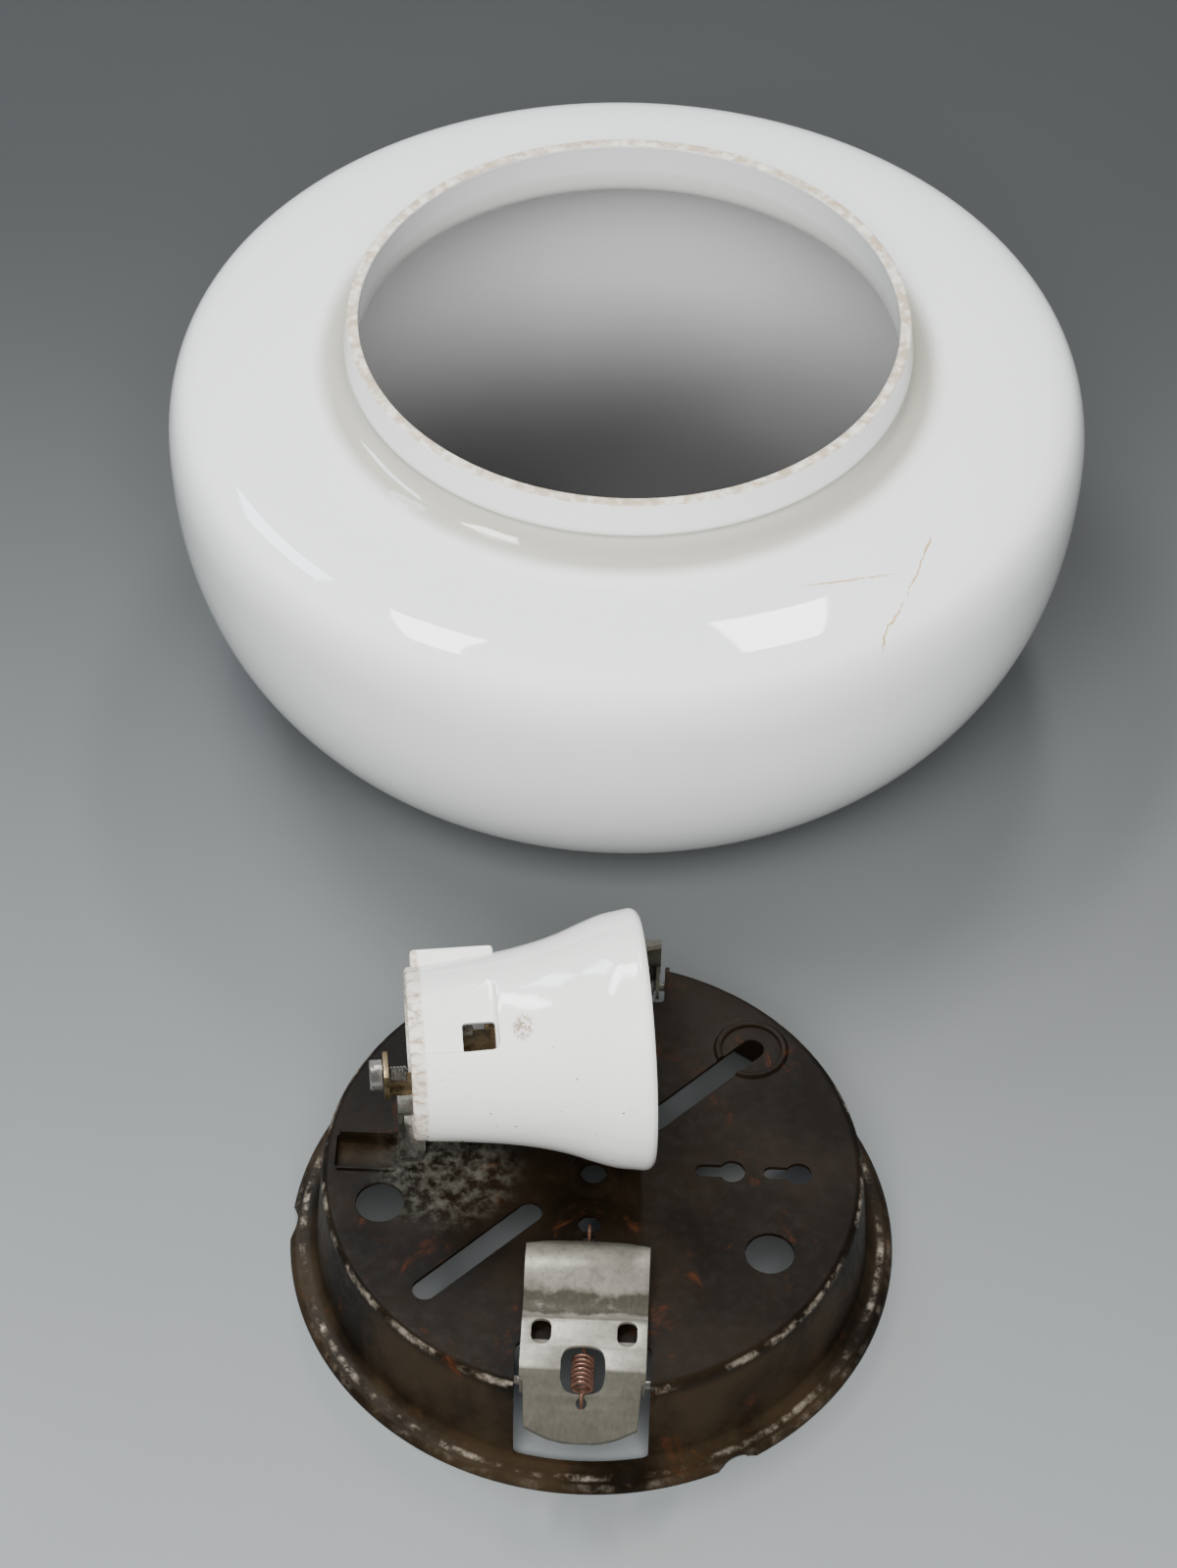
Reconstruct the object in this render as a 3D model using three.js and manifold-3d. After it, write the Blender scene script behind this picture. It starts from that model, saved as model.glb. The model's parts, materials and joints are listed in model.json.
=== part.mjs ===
// A ceiling light taken down and laid out on a bench: an opal glass shade standing mouth up, and in
// front of it the pressed-steel ceiling plate, flange down, with its porcelain lampholder and its two
// sprung clips that snap into the neck of the glass. Millimetres, +Z up. The origin is on the bench,
// under the middle of the whole layout: the plate is on the -Y side and the shade on the +Y side.

import * as THREE from "three";
import { mergeVertices } from "three/addons/utils/BufferGeometryUtils.js";
import Module from "manifold-3d";

const wasm = await Module();
wasm.setup();

// ---- Driving dimensions ----

const FIT_GAP = 0.3; // left between pieces that touch in the real light

const SHADE_CENTRE_Y = 83.45;
const PLATE_CENTRE_Y = -132.05;

const SHADE_HEIGHT = 118;
const LIP_OUTER_R = 75;
const LIP_INNER_R = 71.9;
const NECK_R = 76.5;
const GROOVE_R = 75;
const GLASS_WALL = 3.2;
const SHADE_R = 124.5;
const CREASE_Z = 80.3;
const SHOULDER_R = 79;
const SHOULDER_Z = 102.3;
const SHOULDER_POWER = 0.46;
const BASE_FLAT_R = 52;
const BOWL_POWER = 0.86;

const PLATE_R = 75;
const DISC_R = 66.2;
const DISC_Z = 29;
const SHEET = 1;
const WINDOW_HALF_WIDTH = 16;
const WINDOW_BOTTOM_Z = 3.2;
const NOTCH_Y = 52.5; // how far from the centre the clip's notch starts
const SLOT_WIDTH = 6.2;
const SLOT_R = [17.7, 57.3];
const ROUND_HOLE_R = 5.9;
const EYELET = { x: 0.3, y: -2.4, holeR: 3.3, ringR: 7.2, height: 1.4 };

const PIVOT_Y = 60.5;
const PIVOT_Z = 25.5;
const PIVOT_R = 1.1;
const CLIP_HALF_WIDTH = 14.8;
const CLIP_SHEET = 0.9;
const CLIP_EAR_X = 14.2;
const BACK_CLIP_LEAN_DEG = 54;
const CLIP_HOOK = [-7.5, 1.1]; // where the spring hooks into the lower leaf, from the pivot

const SPRING_R = 2.4;
const SPRING_WIRE_R = 0.45;
const SPRING_TURNS = 7;
const ANCHOR_Y = 22.5;

const HOLDER_YAW_DEG = 7.7;
const HOLDER_START = [-44.6, 5.4]; // the barrel's open end, from the plate's centre
const HOLDER_AXIS_Z = 63;
const HOLDER_LENGTH = 56.5;
const CHAMBER_R = 17.6;
const BORE_R = 15.2;
const LEDGE_U = 27.3;
const BLOCK_R = 17.1;
const BLOCK_U = [20.8, 27];
const SHELL_U = [27.9, 50];
const THREAD_PITCH = 3.63;

// ---- Materials ----

const finish = (color, roughness, metalness) =>
  new THREE.MeshStandardMaterial({ color, roughness, metalness });
const opalGlass = finish(0xeceeec, 0.08, 0);
const porcelain = finish(0xeeece6, 0.15, 0);
const brownSteel = finish(0x4a3a26, 0.55, 0.4);
const zincSteel = finish(0xb4afa4, 0.45, 0.8);
const copperWire = finish(0x9a6a4e, 0.35, 0.9);
const brass = finish(0xa58d58, 0.4, 0.85);
const brightSteel = finish(0x9b9892, 0.35, 0.9);

// ---- Solids ----

function solidOf(geometry) {
  const bare = geometry.clone();
  bare.deleteAttribute("normal");
  bare.deleteAttribute("uv");
  const merged = mergeVertices(bare, 1e-4);
  return new wasm.Manifold(
    new wasm.Mesh({
      numProp: 3,
      vertProperties: new Float32Array(merged.attributes.position.array),
      triVerts: new Uint32Array(merged.index.array),
    }),
  );
}

function geometryOf(solid) {
  const mesh = solid.getMesh();
  const geometry = new THREE.BufferGeometry();
  geometry.setAttribute("position", new THREE.BufferAttribute(new Float32Array(mesh.vertProperties), 3));
  geometry.setIndex(new THREE.BufferAttribute(new Uint32Array(mesh.triVerts), 1));
  geometry.computeVertexNormals();
  return geometry;
}

function joined(base, additions = [], cuts = []) {
  let solid = solidOf(base);
  for (const addition of additions) solid = solid.add(solidOf(addition));
  for (const cut of cuts) solid = solid.subtract(solidOf(cut));
  return geometryOf(solid);
}

// A box between two corners.
function block(x0, x1, y0, y1, z0, z1) {
  return new THREE.BoxGeometry(x1 - x0, y1 - y0, z1 - z0)
    .translate((x0 + x1) / 2, (y0 + y1) / 2, (z0 + z1) / 2);
}

// A cylinder along X, Y or Z between two places on that axis.
function rod(axis, from, to, radius, [a, b] = [0, 0], sides = 20) {
  const geometry = new THREE.CylinderGeometry(radius, radius, to - from, sides);
  const middle = (from + to) / 2;
  if (axis === "x") return geometry.rotateZ(-Math.PI / 2).translate(middle, a, b);
  if (axis === "y") return geometry.translate(a, middle, b);
  return geometry.rotateX(Math.PI / 2).translate(a, b, middle);
}

// A solid turned about Z from a closed outline of [radius, z] points.
function turned(points, sides) {
  const outline = points.map(([r, z]) => new THREE.Vector2(r, z));
  return new THREE.LatheGeometry(outline, sides).rotateX(Math.PI / 2);
}

// A flat outline in the XY plane, raised from z0 to z1.
function raised(shape, z0, z1, curveSegments = 8) {
  return new THREE.ExtrudeGeometry(shape, { depth: z1 - z0, bevelEnabled: false, curveSegments })
    .translate(0, 0, z0);
}

// A straight slot with round ends, centred on the segment from one point to another.
function slotShape([x0, y0], [x1, y1], width) {
  const along = Math.atan2(y1 - y0, x1 - x0);
  const r = width / 2;
  const shape = new THREE.Shape();
  shape.absarc(x1, y1, r, along - Math.PI / 2, along + Math.PI / 2, false);
  shape.absarc(x0, y0, r, along + Math.PI / 2, along + (3 * Math.PI) / 2, false);
  shape.closePath();
  return shape;
}

// A bent strip: its middle line is a list of [along, up] points, drawn out across X.
function strip(line, thickness, x0, x1) {
  const half = thickness / 2;
  const near = [];
  const far = [];
  line.forEach(([a, b], i) => {
    const [a0, b0] = line[Math.max(i - 1, 0)];
    const [a1, b1] = line[Math.min(i + 1, line.length - 1)];
    const length = Math.hypot(a1 - a0, b1 - b0);
    const normal = [-(b1 - b0) / length, (a1 - a0) / length];
    near.push(new THREE.Vector2(a + normal[0] * half, b + normal[1] * half));
    far.unshift(new THREE.Vector2(a - normal[0] * half, b - normal[1] * half));
  });
  const shape = new THREE.Shape([...near, ...far]);
  const drawn = new THREE.ExtrudeGeometry(shape, { depth: x1 - x0, bevelEnabled: false });
  // The outline's "along" becomes +Y, its "up" becomes +Z and the drawn depth becomes +X.
  return drawn.applyMatrix4(new THREE.Matrix4().makeBasis(
    new THREE.Vector3(0, 1, 0),
    new THREE.Vector3(0, 0, 1),
    new THREE.Vector3(1, 0, 0),
  )).translate(x0, 0, 0);
}

// Points along a smooth line through a few [along, up] points.
function smoothLine(points, count) {
  const curve = new THREE.SplineCurve(points.map(([a, b]) => new THREE.Vector2(a, b)));
  return curve.getPoints(count).map((p) => [p.x, p.y]);
}

// A round wire along a list of THREE.Vector3.
function wire(points, radius, sides) {
  const section = new THREE.Shape();
  for (let i = 0; i < sides; i++) {
    const angle = (2 * Math.PI * i) / sides;
    const at = [radius * Math.cos(angle), radius * Math.sin(angle)];
    if (i) section.lineTo(...at);
    else section.moveTo(...at);
  }
  const path = new THREE.CatmullRomCurve3(points, false, "centripetal");
  return new THREE.ExtrudeGeometry(section, { steps: Math.round(points.length * 1.5), extrudePath: path });
}

function piece(name, geometry, material) {
  const mesh = new THREE.Mesh(geometry, material);
  mesh.name = name;
  return mesh;
}

// ---- Opal glass shade ----

// Points on a quarter of a superellipse, from its widest point to its top or bottom. The lower the
// power, the squarer the corner.
function quarter(centreR, radius, centreZ, height, power, steps) {
  const points = [];
  for (let i = 0; i <= steps; i++) {
    const t = (i / steps) * (Math.PI / 2);
    const out = Math.cos(t) ** power;
    const up = Math.sin(t) ** power;
    points.push([centreR + (radius - centreR) * out, centreZ + height * up]);
  }
  return points;
}

function shadeGeometry() {
  const neckFoot = SHADE_HEIGHT - 12.8;
  const neck = [
    [LIP_OUTER_R, SHADE_HEIGHT],
    [75.9, SHADE_HEIGHT - 4],
    [NECK_R, SHADE_HEIGHT - 8.5],
    [76.2, neckFoot + 2],
    [GROOVE_R, neckFoot],
    [76.4, neckFoot - 1.9],
  ];
  const shoulderRise = SHOULDER_Z - CREASE_Z;
  const shoulder = quarter(SHOULDER_R, SHADE_R, CREASE_Z, shoulderRise, SHOULDER_POWER, 9).reverse();
  const bowl = quarter(BASE_FLAT_R, SHADE_R, CREASE_Z, -CREASE_Z, BOWL_POWER, 10).slice(1);
  const outside = [...neck, ...shoulder, ...bowl];
  const inSeat = GLASS_WALL + 0.4;
  const insideBowl = quarter(BASE_FLAT_R, SHADE_R - GLASS_WALL, CREASE_Z, inSeat - CREASE_Z, BOWL_POWER, 9)
    .reverse();
  const insideShoulder = quarter(
    SHOULDER_R, SHADE_R - GLASS_WALL, CREASE_Z, shoulderRise - GLASS_WALL, SHOULDER_POWER, 6,
  ).slice(1);
  const insideNeck = [
    [75.4, SHOULDER_Z - GLASS_WALL + 0.5],
    [73.5, SHADE_HEIGHT - 13.6],
    [73.2, SHADE_HEIGHT - 11.2],
    [72.5, SHADE_HEIGHT - 5],
    [LIP_INNER_R, SHADE_HEIGHT],
  ];
  const inside = [[0, inSeat], ...insideBowl, ...insideShoulder, ...insideNeck];
  return turned([...inside, ...outside, [0, 0]].reverse(), 60);
}

// ---- Ceiling plate ----

function plateBlank() {
  const outside = [
    [0, DISC_Z],
    [DISC_R - 2.2, DISC_Z],
    [DISC_R - 0.8, DISC_Z - 0.6],
    [DISC_R, DISC_Z - 2],
    [68.4, 4.6],
    [69.2, 3],
    [70.8, 2.4],
    [73.2, 2.2],
    [74.4, 1.6],
    [PLATE_R, 0.4],
    [PLATE_R, 0],
  ];
  const underside = [
    [73.8, 0],
    [73.6, 0.8],
    [72.6, 1.2],
    [70.4, 1.4],
    [68.2, 2.4],
    [67.4, 4.4],
    [DISC_R - SHEET, DISC_Z - 2.4],
    [DISC_R - 2.6, DISC_Z - SHEET],
    [0, DISC_Z - SHEET],
  ];
  return turned([...outside, ...underside].reverse(), 60);
}

function diagonalSlot(direction) {
  const unit = [direction * Math.SQRT1_2, direction * Math.SQRT1_2];
  const inner = SLOT_R[0] + SLOT_WIDTH / 2;
  const outer = SLOT_R[1] - SLOT_WIDTH / 2;
  const ends = [inner, outer].map((r) => [unit[0] * r, unit[1] * r]);
  return raised(slotShape(ends[0], ends[1], SLOT_WIDTH), DISC_Z - 3, DISC_Z + 4);
}

function keyhole(narrowStart, ballCentre) {
  const z = [DISC_Z - 3, DISC_Z + 3];
  return [
    rod("z", ...z, 3.2, [ballCentre, 0], 24),
    raised(slotShape([narrowStart + 1.8, 0], [ballCentre, 0], 3.6), ...z),
  ];
}

// A pressed ring that stands a little out of the disc.
function pressedRing(x, y, innerR, outerR, height) {
  const z = DISC_Z - 0.5;
  return turned([
    [innerR, z],
    [outerR, z],
    [outerR, DISC_Z + 0.1],
    [outerR - 1.1, DISC_Z + height * 0.8],
    [(innerR + outerR) / 2, DISC_Z + height],
    [innerR, DISC_Z + height * 0.8],
    [innerR, z],
  ], 28).translate(x, y, 0);
}

function ceilingPlate() {
  const additions = [];
  const cuts = [];

  // The pocket beside the lampholder's bracket.
  additions.push(block(-64, -47.2, -4.2, 7.7, 24, DISC_Z - 0.5));
  cuts.push(block(-63, -48.2, -3.2, 6.7, 25, DISC_Z + 4));
  for (const y of [-4.2, 6.9]) additions.push(block(-62.5, -48.4, y, y + 0.8, DISC_Z - 0.5, DISC_Z + 0.9));

  additions.push(pressedRing(EYELET.x, EYELET.y, EYELET.holeR, EYELET.ringR, EYELET.height));
  cuts.push(rod("z", DISC_Z - 3, DISC_Z + 4, EYELET.holeR, [EYELET.x, EYELET.y], 28));
  additions.push(pressedRing(38.2, 38.2, 7.4, 9.4, 0.8));

  cuts.push(diagonalSlot(-1), diagonalSlot(1));
  cuts.push(...keyhole(25.1, 34), ...keyhole(41.7, 50.2));
  for (const at of [[-51, -13.4], [43.4, -24]]) {
    cuts.push(rod("z", DISC_Z - 3, DISC_Z + 3, ROUND_HOLE_R, at, 32));
  }
  for (const side of [-1, 1]) {
    const window = [side * NOTCH_Y, side * (PLATE_R + 5)].sort((a, b) => a - b);
    cuts.push(block(-WINDOW_HALF_WIDTH, WINDOW_HALF_WIDTH, ...window, WINDOW_BOTTOM_Z, DISC_Z + 4));
    for (const x of [-1, 1]) additions.push(pivotLug(x, side));
    for (const x of [-1, 1]) cuts.push(lugHole(x, side));
    cuts.push(block(-1.5, 1.5, side * ANCHOR_Y - 1.5, side * ANCHOR_Y + 1.5, DISC_Z - 3, DISC_Z + 3));
    const oval = slotShape([-0.3, side * 17.5], [0.3, side * 17.5], 5);
    cuts.push(raised(oval, DISC_Z - 3, DISC_Z + 3));
  }

  // Three short dents in the flange's edge.
  for (const degrees of [180, 60, -60]) {
    const angle = THREE.MathUtils.degToRad(degrees);
    const at = [(PLATE_R + 8.4) * Math.cos(angle), (PLATE_R + 8.4) * Math.sin(angle)];
    cuts.push(rod("z", -2, 6, 10, at, 48));
  }
  // Rivet holes for the lampholder's bracket.
  for (const at of RIVET_PLACES) cuts.push(rod("z", DISC_Z - 3, DISC_Z + 3, 1.4, at, 16));
  return joined(plateBlank(), additions, cuts);
}

function pivotLug(x, side) {
  const [y0, y1] = [side * 57.5, side * 64.6].sort((a, b) => a - b);
  const [x0, x1] = [x * 16, x * 17.1].sort((a, b) => a - b);
  return block(x0, x1, y0, y1, 22.6, DISC_Z - 0.4);
}

function lugHole(x, side) {
  const [x0, x1] = [x * 15, x * 17.6].sort((a, b) => a - b);
  return rod("x", x0, x1, PIVOT_R + 0.15, [side * PIVOT_Y, PIVOT_Z]);
}

// ---- Clips and their springs ----
// A clip is drawn with its pivot along X through the origin and its upper leaf towards +Y.

const UPPER_LEAF = [
  [0.4, 4.9], [3, 5.3], [8, 5.7], [12.4, 6], [14.6, 5.1], [17.4, 4.6], [20, 5.6],
  [23, 7.6], [27, 9.1], [31, 8.9], [34, 7.3], [35.6, 5.9],
];
const LOWER_LEAF = [[-15.4, -2.6], [-8, 1], [-1.4, 4.2]];

function clipGeometry() {
  const line = [...LOWER_LEAF, ...smoothLine(UPPER_LEAF, 20)];
  const sheet = strip(line, CLIP_SHEET, -CLIP_HALF_WIDTH, CLIP_HALF_WIDTH);

  // Seen from above the two ends are arcs, and the lower leaf narrows.
  const plan = new THREE.Shape();
  plan.moveTo(-CLIP_HALF_WIDTH - 1, -1.6);
  plan.lineTo(-CLIP_HALF_WIDTH + 0.9, -2.2);
  plan.lineTo(-13.2, -12.2);
  plan.quadraticCurveTo(0, -18.6, 13.2, -12.2);
  plan.lineTo(CLIP_HALF_WIDTH - 0.9, -2.2);
  plan.lineTo(CLIP_HALF_WIDTH + 1, -1.6);
  plan.lineTo(CLIP_HALF_WIDTH + 1, 33);
  plan.quadraticCurveTo(0, 38.4, -CLIP_HALF_WIDTH - 1, 33);
  plan.closePath();
  let solid = solidOf(sheet).intersect(solidOf(raised(plan, -10, 20, 12)));

  const ear = new THREE.Shape();
  ear.absarc(0, 0, 3.2, Math.PI, 2 * Math.PI, false);
  ear.lineTo(3.6, 5.1);
  ear.lineTo(-2.6, 4);
  ear.closePath();
  for (const side of [-1, 1]) {
    const drawn = new THREE.ExtrudeGeometry(ear, { depth: 0.9, bevelEnabled: false, curveSegments: 8 });
    const turnedEar = drawn.applyMatrix4(new THREE.Matrix4().makeBasis(
      new THREE.Vector3(0, 1, 0), new THREE.Vector3(0, 0, 1), new THREE.Vector3(1, 0, 0),
    )).translate(side * CLIP_EAR_X - 0.45, 0, 0);
    solid = solid.add(solidOf(turnedEar));
  }

  // The tongues lanced down under their two slots.
  for (const x of [-10.1, 10.1]) {
    solid = solid.subtract(solidOf(raised(slotShape([x, 8.6], [x, 10.8], 4.8), 2, 9)));
    const tongue = block(-2, 2, -2.7, 2.7, -0.4, 0.4).rotateX(-0.28).translate(x, 6, 4.7);
    solid = solid.add(solidOf(tongue));
  }
  const opening = new THREE.Shape();
  opening.moveTo(-5.2, -2);
  opening.bezierCurveTo(-5.2, -6.6, 5.2, -6.6, 5.2, -2);
  opening.lineTo(5.2, 2.4);
  opening.bezierCurveTo(5.2, 7.4, -5.2, 7.4, -5.2, 2.4);
  opening.closePath();
  solid = solid.subtract(solidOf(raised(opening, -4, 9)));
  solid = solid.subtract(solidOf(rod("z", -3, 5, 1.3, [0, CLIP_HOOK[0] + 0.3], 16)));
  for (const side of [-1, 1]) {
    const [x0, x1] = [side * 13, side * 15.5].sort((a, b) => a - b);
    solid = solid.subtract(solidOf(rod("x", x0, x1, PIVOT_R + 0.15)));
  }
  return geometryOf(solid);
}

// The hooked coil spring, in the clip's frame moved to the pivot, drawn for a clip at an angle.
function springGeometry(leanDegrees) {
  const lean = THREE.MathUtils.degToRad(leanDegrees);
  const turn = ([a, b]) => new THREE.Vector3(
    0,
    a * Math.cos(lean) - b * Math.sin(lean),
    a * Math.sin(lean) + b * Math.cos(lean),
  );
  const anchor = new THREE.Vector3(0, PIVOT_Y - ANCHOR_Y, DISC_Z - SHEET - 1.3 - PIVOT_Z);
  const hookFoot = turn([CLIP_HOOK[0], CLIP_HOOK[1] - 1.6]);
  const hookTop = turn([CLIP_HOOK[0] + 0.1, CLIP_HOOK[1] + 2]);
  const overSheet = turn([CLIP_HOOK[0] + 1.9, CLIP_HOOK[1] + 2.5]);
  const start = turn([CLIP_HOOK[0] + 3.3, CLIP_HOOK[1] + 0.9]);
  const along = anchor.clone().sub(start);
  const reach = along.length();
  along.normalize();
  const up = new THREE.Vector3(1, 0, 0).cross(along);
  const across = new THREE.Vector3(1, 0, 0);
  const coilLength = 8.8;
  const points = [hookFoot, hookTop, overSheet, start.clone().addScaledVector(across, SPRING_R * 0.4)];
  const stepsPerTurn = 8;
  for (let i = 0; i <= SPRING_TURNS * stepsPerTurn; i++) {
    const angle = (2 * Math.PI * i) / stepsPerTurn;
    points.push(start.clone()
      .addScaledVector(along, 0.9 + (coilLength * i) / (SPRING_TURNS * stepsPerTurn))
      .addScaledVector(across, SPRING_R * Math.cos(angle))
      .addScaledVector(up, SPRING_R * Math.sin(angle)));
  }
  points.push(start.clone().addScaledVector(along, coilLength + 2.2));
  points.push(start.clone().addScaledVector(along, reach * 0.7));
  points.push(start.clone().addScaledVector(along, reach - 1));
  const rise = SHEET + 1.3;
  points.push(new THREE.Vector3(0, anchor.y + 0.2, anchor.z + rise * 0.5));
  points.push(new THREE.Vector3(0, anchor.y + 1.2, anchor.z + rise + 1.1));
  points.push(new THREE.Vector3(0, anchor.y + 3.6, anchor.z + rise + 1));
  points.push(new THREE.Vector3(0, anchor.y + 4.9, anchor.z + rise - 0.8));
  return wire(points, SPRING_WIRE_R, 5);
}

function pivotPin(x) {
  const span = (a, b) => [x * a, x * b].sort((p, q) => p - q);
  return joined(rod("x", ...span(12.6, 18.4), PIVOT_R), [
    rod("x", ...span(12.5, 13.4), 2),
    rod("x", ...span(17.5, 18.4), 1.8),
  ]);
}

function clipStation(name, side, leanDegrees) {
  const station = new THREE.Group();
  station.position.set(0, side * PIVOT_Y, PIVOT_Z);
  station.rotation.z = side < 0 ? 0 : Math.PI;
  const clip = piece(`${name}_clip`, clipGeometry(), zincSteel);
  clip.rotation.x = THREE.MathUtils.degToRad(leanDegrees);
  station.add(clip);
  station.add(piece(`${name}_clip_spring`, springGeometry(leanDegrees), copperWire));
  station.add(piece(`${name}_pivot_a`, pivotPin(-1), brightSteel));
  station.add(piece(`${name}_pivot_b`, pivotPin(1), brightSteel));
  return station;
}

// ---- Lampholder ----
// It is drawn along +X from the barrel's open end, in a group that is turned and placed on the plate.
// "u" runs along the barrel, "v" across it and z is height above the bench.

const RIVET_U_V = [[7, 3.4], [13, 3.4]];
const yaw = THREE.MathUtils.degToRad(HOLDER_YAW_DEG);
const onPlate = ([u, v]) => [
  HOLDER_START[0] + u * Math.cos(yaw) - v * Math.sin(yaw),
  HOLDER_START[1] + u * Math.sin(yaw) + v * Math.cos(yaw),
];
const RIVET_PLACES = RIVET_U_V.map(onPlate);

// A solid turned about the barrel's axis from [radius, u] points.
function turnedOnBarrel(points, sides) {
  return turned(points, sides).rotateY(Math.PI / 2).translate(0, 0, HOLDER_AXIS_Z);
}

function lampholderBody() {
  const outside = [
    [20.4, 0], [20.7, 0.6], [20.9, 3.4], [21.8, 12], [23, 22], [24.5, 30], [26.3, 36.5], [28.6, 42.5],
    [30.3, 47.5], [31.1, 52], [31.4, 54.2], [31.1, 55.9], [30.3, HOLDER_LENGTH],
  ];
  const inside = [
    [28.7, HOLDER_LENGTH], [28.1, 55.6], [27.4, 52], [25.6, 47], [22.6, 42], [19.2, 37.6], [16.6, 34.4],
    [BORE_R, 32], [BORE_R, LEDGE_U], [CHAMBER_R, LEDGE_U], [CHAMBER_R, 0.5], [18, 0], [20.4, 0],
  ];
  const shell = turnedOnBarrel([...outside, ...inside], 44);

  // A direction round the barrel: 0 faces -Y and 90 faces up.
  const facing = (geometry, degrees) => geometry
    .rotateX(-THREE.MathUtils.degToRad(degrees))
    .translate(0, 0, HOLDER_AXIS_Z);
  // Boxes below are drawn facing -Y: y is depth, z is sideways.
  const pad = facing(block(1.6, 21.5, -24.3, -19.5, -5, 5), 146);
  const recess = facing(block(-2, 21, -34, -19.3, -5.6, 15), 65);
  const wireHole = facing(block(12.4, 20.2, -34, -12, -5.6, 1.8), 65);
  const screwHoles = BODY_SCREW_ANGLES.map((angle) => {
    const [v, z] = roundAxis(BODY_SCREW_R, angle);
    return rod("x", LEDGE_U - 1, 33, 1.2, [v, z], 12);
  });
  return joined(shell, [pad], [recess, wireHole, ...screwHoles]);
}

const BODY_SCREW_R = 15.6;
const BODY_SCREW_ANGLES = [25, 205];

// The [v, z] of a point at a radius and an angle round the barrel, 0 at +v and 90 up.
function roundAxis(radius, degrees) {
  const angle = THREE.MathUtils.degToRad(degrees);
  return [radius * Math.cos(angle), HOLDER_AXIS_Z + radius * Math.sin(angle)];
}

const LIVE_RIVET = [-3.5, 60];
const SHELL_RIVET = [-1, HOLDER_AXIS_Z + 10.9];
const BRACKET_SCREW = [0, HOLDER_AXIS_Z - 11.6];

function contactBlock() {
  const disc = turnedOnBarrel([
    [0, BLOCK_U[0]], [BLOCK_R - 0.6, BLOCK_U[0]], [BLOCK_R, BLOCK_U[0] + 0.6],
    [BLOCK_R, BLOCK_U[1] - 0.6], [BLOCK_R - 0.6, BLOCK_U[1]], [0, BLOCK_U[1]],
  ], 40);
  const through = ([v, z], radius) => rod("x", BLOCK_U[0] - 2, BLOCK_U[1] + 2, radius, [v, z], 16);
  const cuts = [through(LIVE_RIVET, 1.4), through(SHELL_RIVET, 1.4), through(BRACKET_SCREW, 1.8)];
  for (const angle of BODY_SCREW_ANGLES) cuts.push(through(roundAxis(BODY_SCREW_R, angle), 1.2));
  return joined(disc, [], cuts);
}

function screwShell() {
  const [u0, u1] = SHELL_U;
  const count = Math.round(((u1 - u0 - 1.5) / THREAD_PITCH) * 4);
  const wave = [];
  for (let i = 0; i <= count; i++) {
    const u = u0 + 1.5 + (i * THREAD_PITCH) / 4;
    wave.push([13.25 + 0.45 * Math.cos((i * Math.PI) / 2), u]);
  }
  const outer = wave.map(([r, u]) => [r + 0.25, u]);
  const inner = wave.map(([r, u]) => [r - 0.25, u]).reverse();
  const flange = [[8.6, u0 + 0.5], [8.6, u0], [13.6, u0]];
  const sleeve = turnedOnBarrel([...flange, ...outer, ...inner, [13, u0 + 0.5], flange[0]], 24);
  return joined(sleeve, [], [rod("x", u0 - 1, u0 + 1.2, 1.4, SHELL_RIVET, 16)]);
}

// A rivet or screw along the barrel: a shank with a head at each end or at one end.
function fastener([v, z], from, to, shankR, headR, headThickness, ends) {
  const heads = [rod("x", from, from + headThickness, headR, [v, z], 20)];
  if (ends === 2) heads.push(rod("x", to - headThickness, to, headR, [v, z], 20));
  return joined(rod("x", from + 0.1, to - 0.1, shankR, [v, z], 16), heads);
}

function slottedScrew([v, z], headEnd, tip, shankR, headR, headThickness) {
  const screw = solidOf(fastener([v, z], headEnd, tip, shankR, headR, headThickness, 1));
  const slot = block(headEnd - 1, headEnd + 0.9, v - headR - 1, v + headR + 1, z - 0.5, z + 0.5);
  return geometryOf(screw.subtract(solidOf(slot)));
}

// The live terminal: a strap from the block out of the barrel's end, with an upright for its screw.
function liveTerminal() {
  const [v, z] = [LIVE_RIVET[0], 59.5];
  const foot = z - 4;
  return joined(block(-6.3, BLOCK_U[0] - FIT_GAP, v - 3, v + 3, foot, foot + 1.2), [
    block(-6.3, -5.1, v - 4, v + 4, foot, foot + 8.4),
    block(BLOCK_U[0] - FIT_GAP - 1.2, BLOCK_U[0] - FIT_GAP, v - 3, v + 3, foot, foot + 7.4),
  ], [
    rod("x", -8, -3, 2.3, [v, z + 0.6], 20),
    rod("x", BLOCK_U[0] - 3, BLOCK_U[0] + 1, 1.4, LIVE_RIVET, 16),
  ]);
}

function shellTerminal() {
  const [v, z] = SHELL_RIVET;
  const right = BLOCK_U[0] - FIT_GAP;
  return joined(block(right - 1.2, right, v - 3.5, v + 3.5, z - 7.6, z + 2.6), [
    block(10, right, v - 3.5, v + 3.5, z - 7.6, z - 6.4),
    block(10, 11.2, v - 3.5, v + 3.5, z - 7.6, z + 1),
  ], [
    rod("x", 8, 13, 1.9, [v, z - 2.4], 20),
    rod("x", right - 3, right + 1, 1.4, SHELL_RIVET, 16),
  ]);
}

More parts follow.
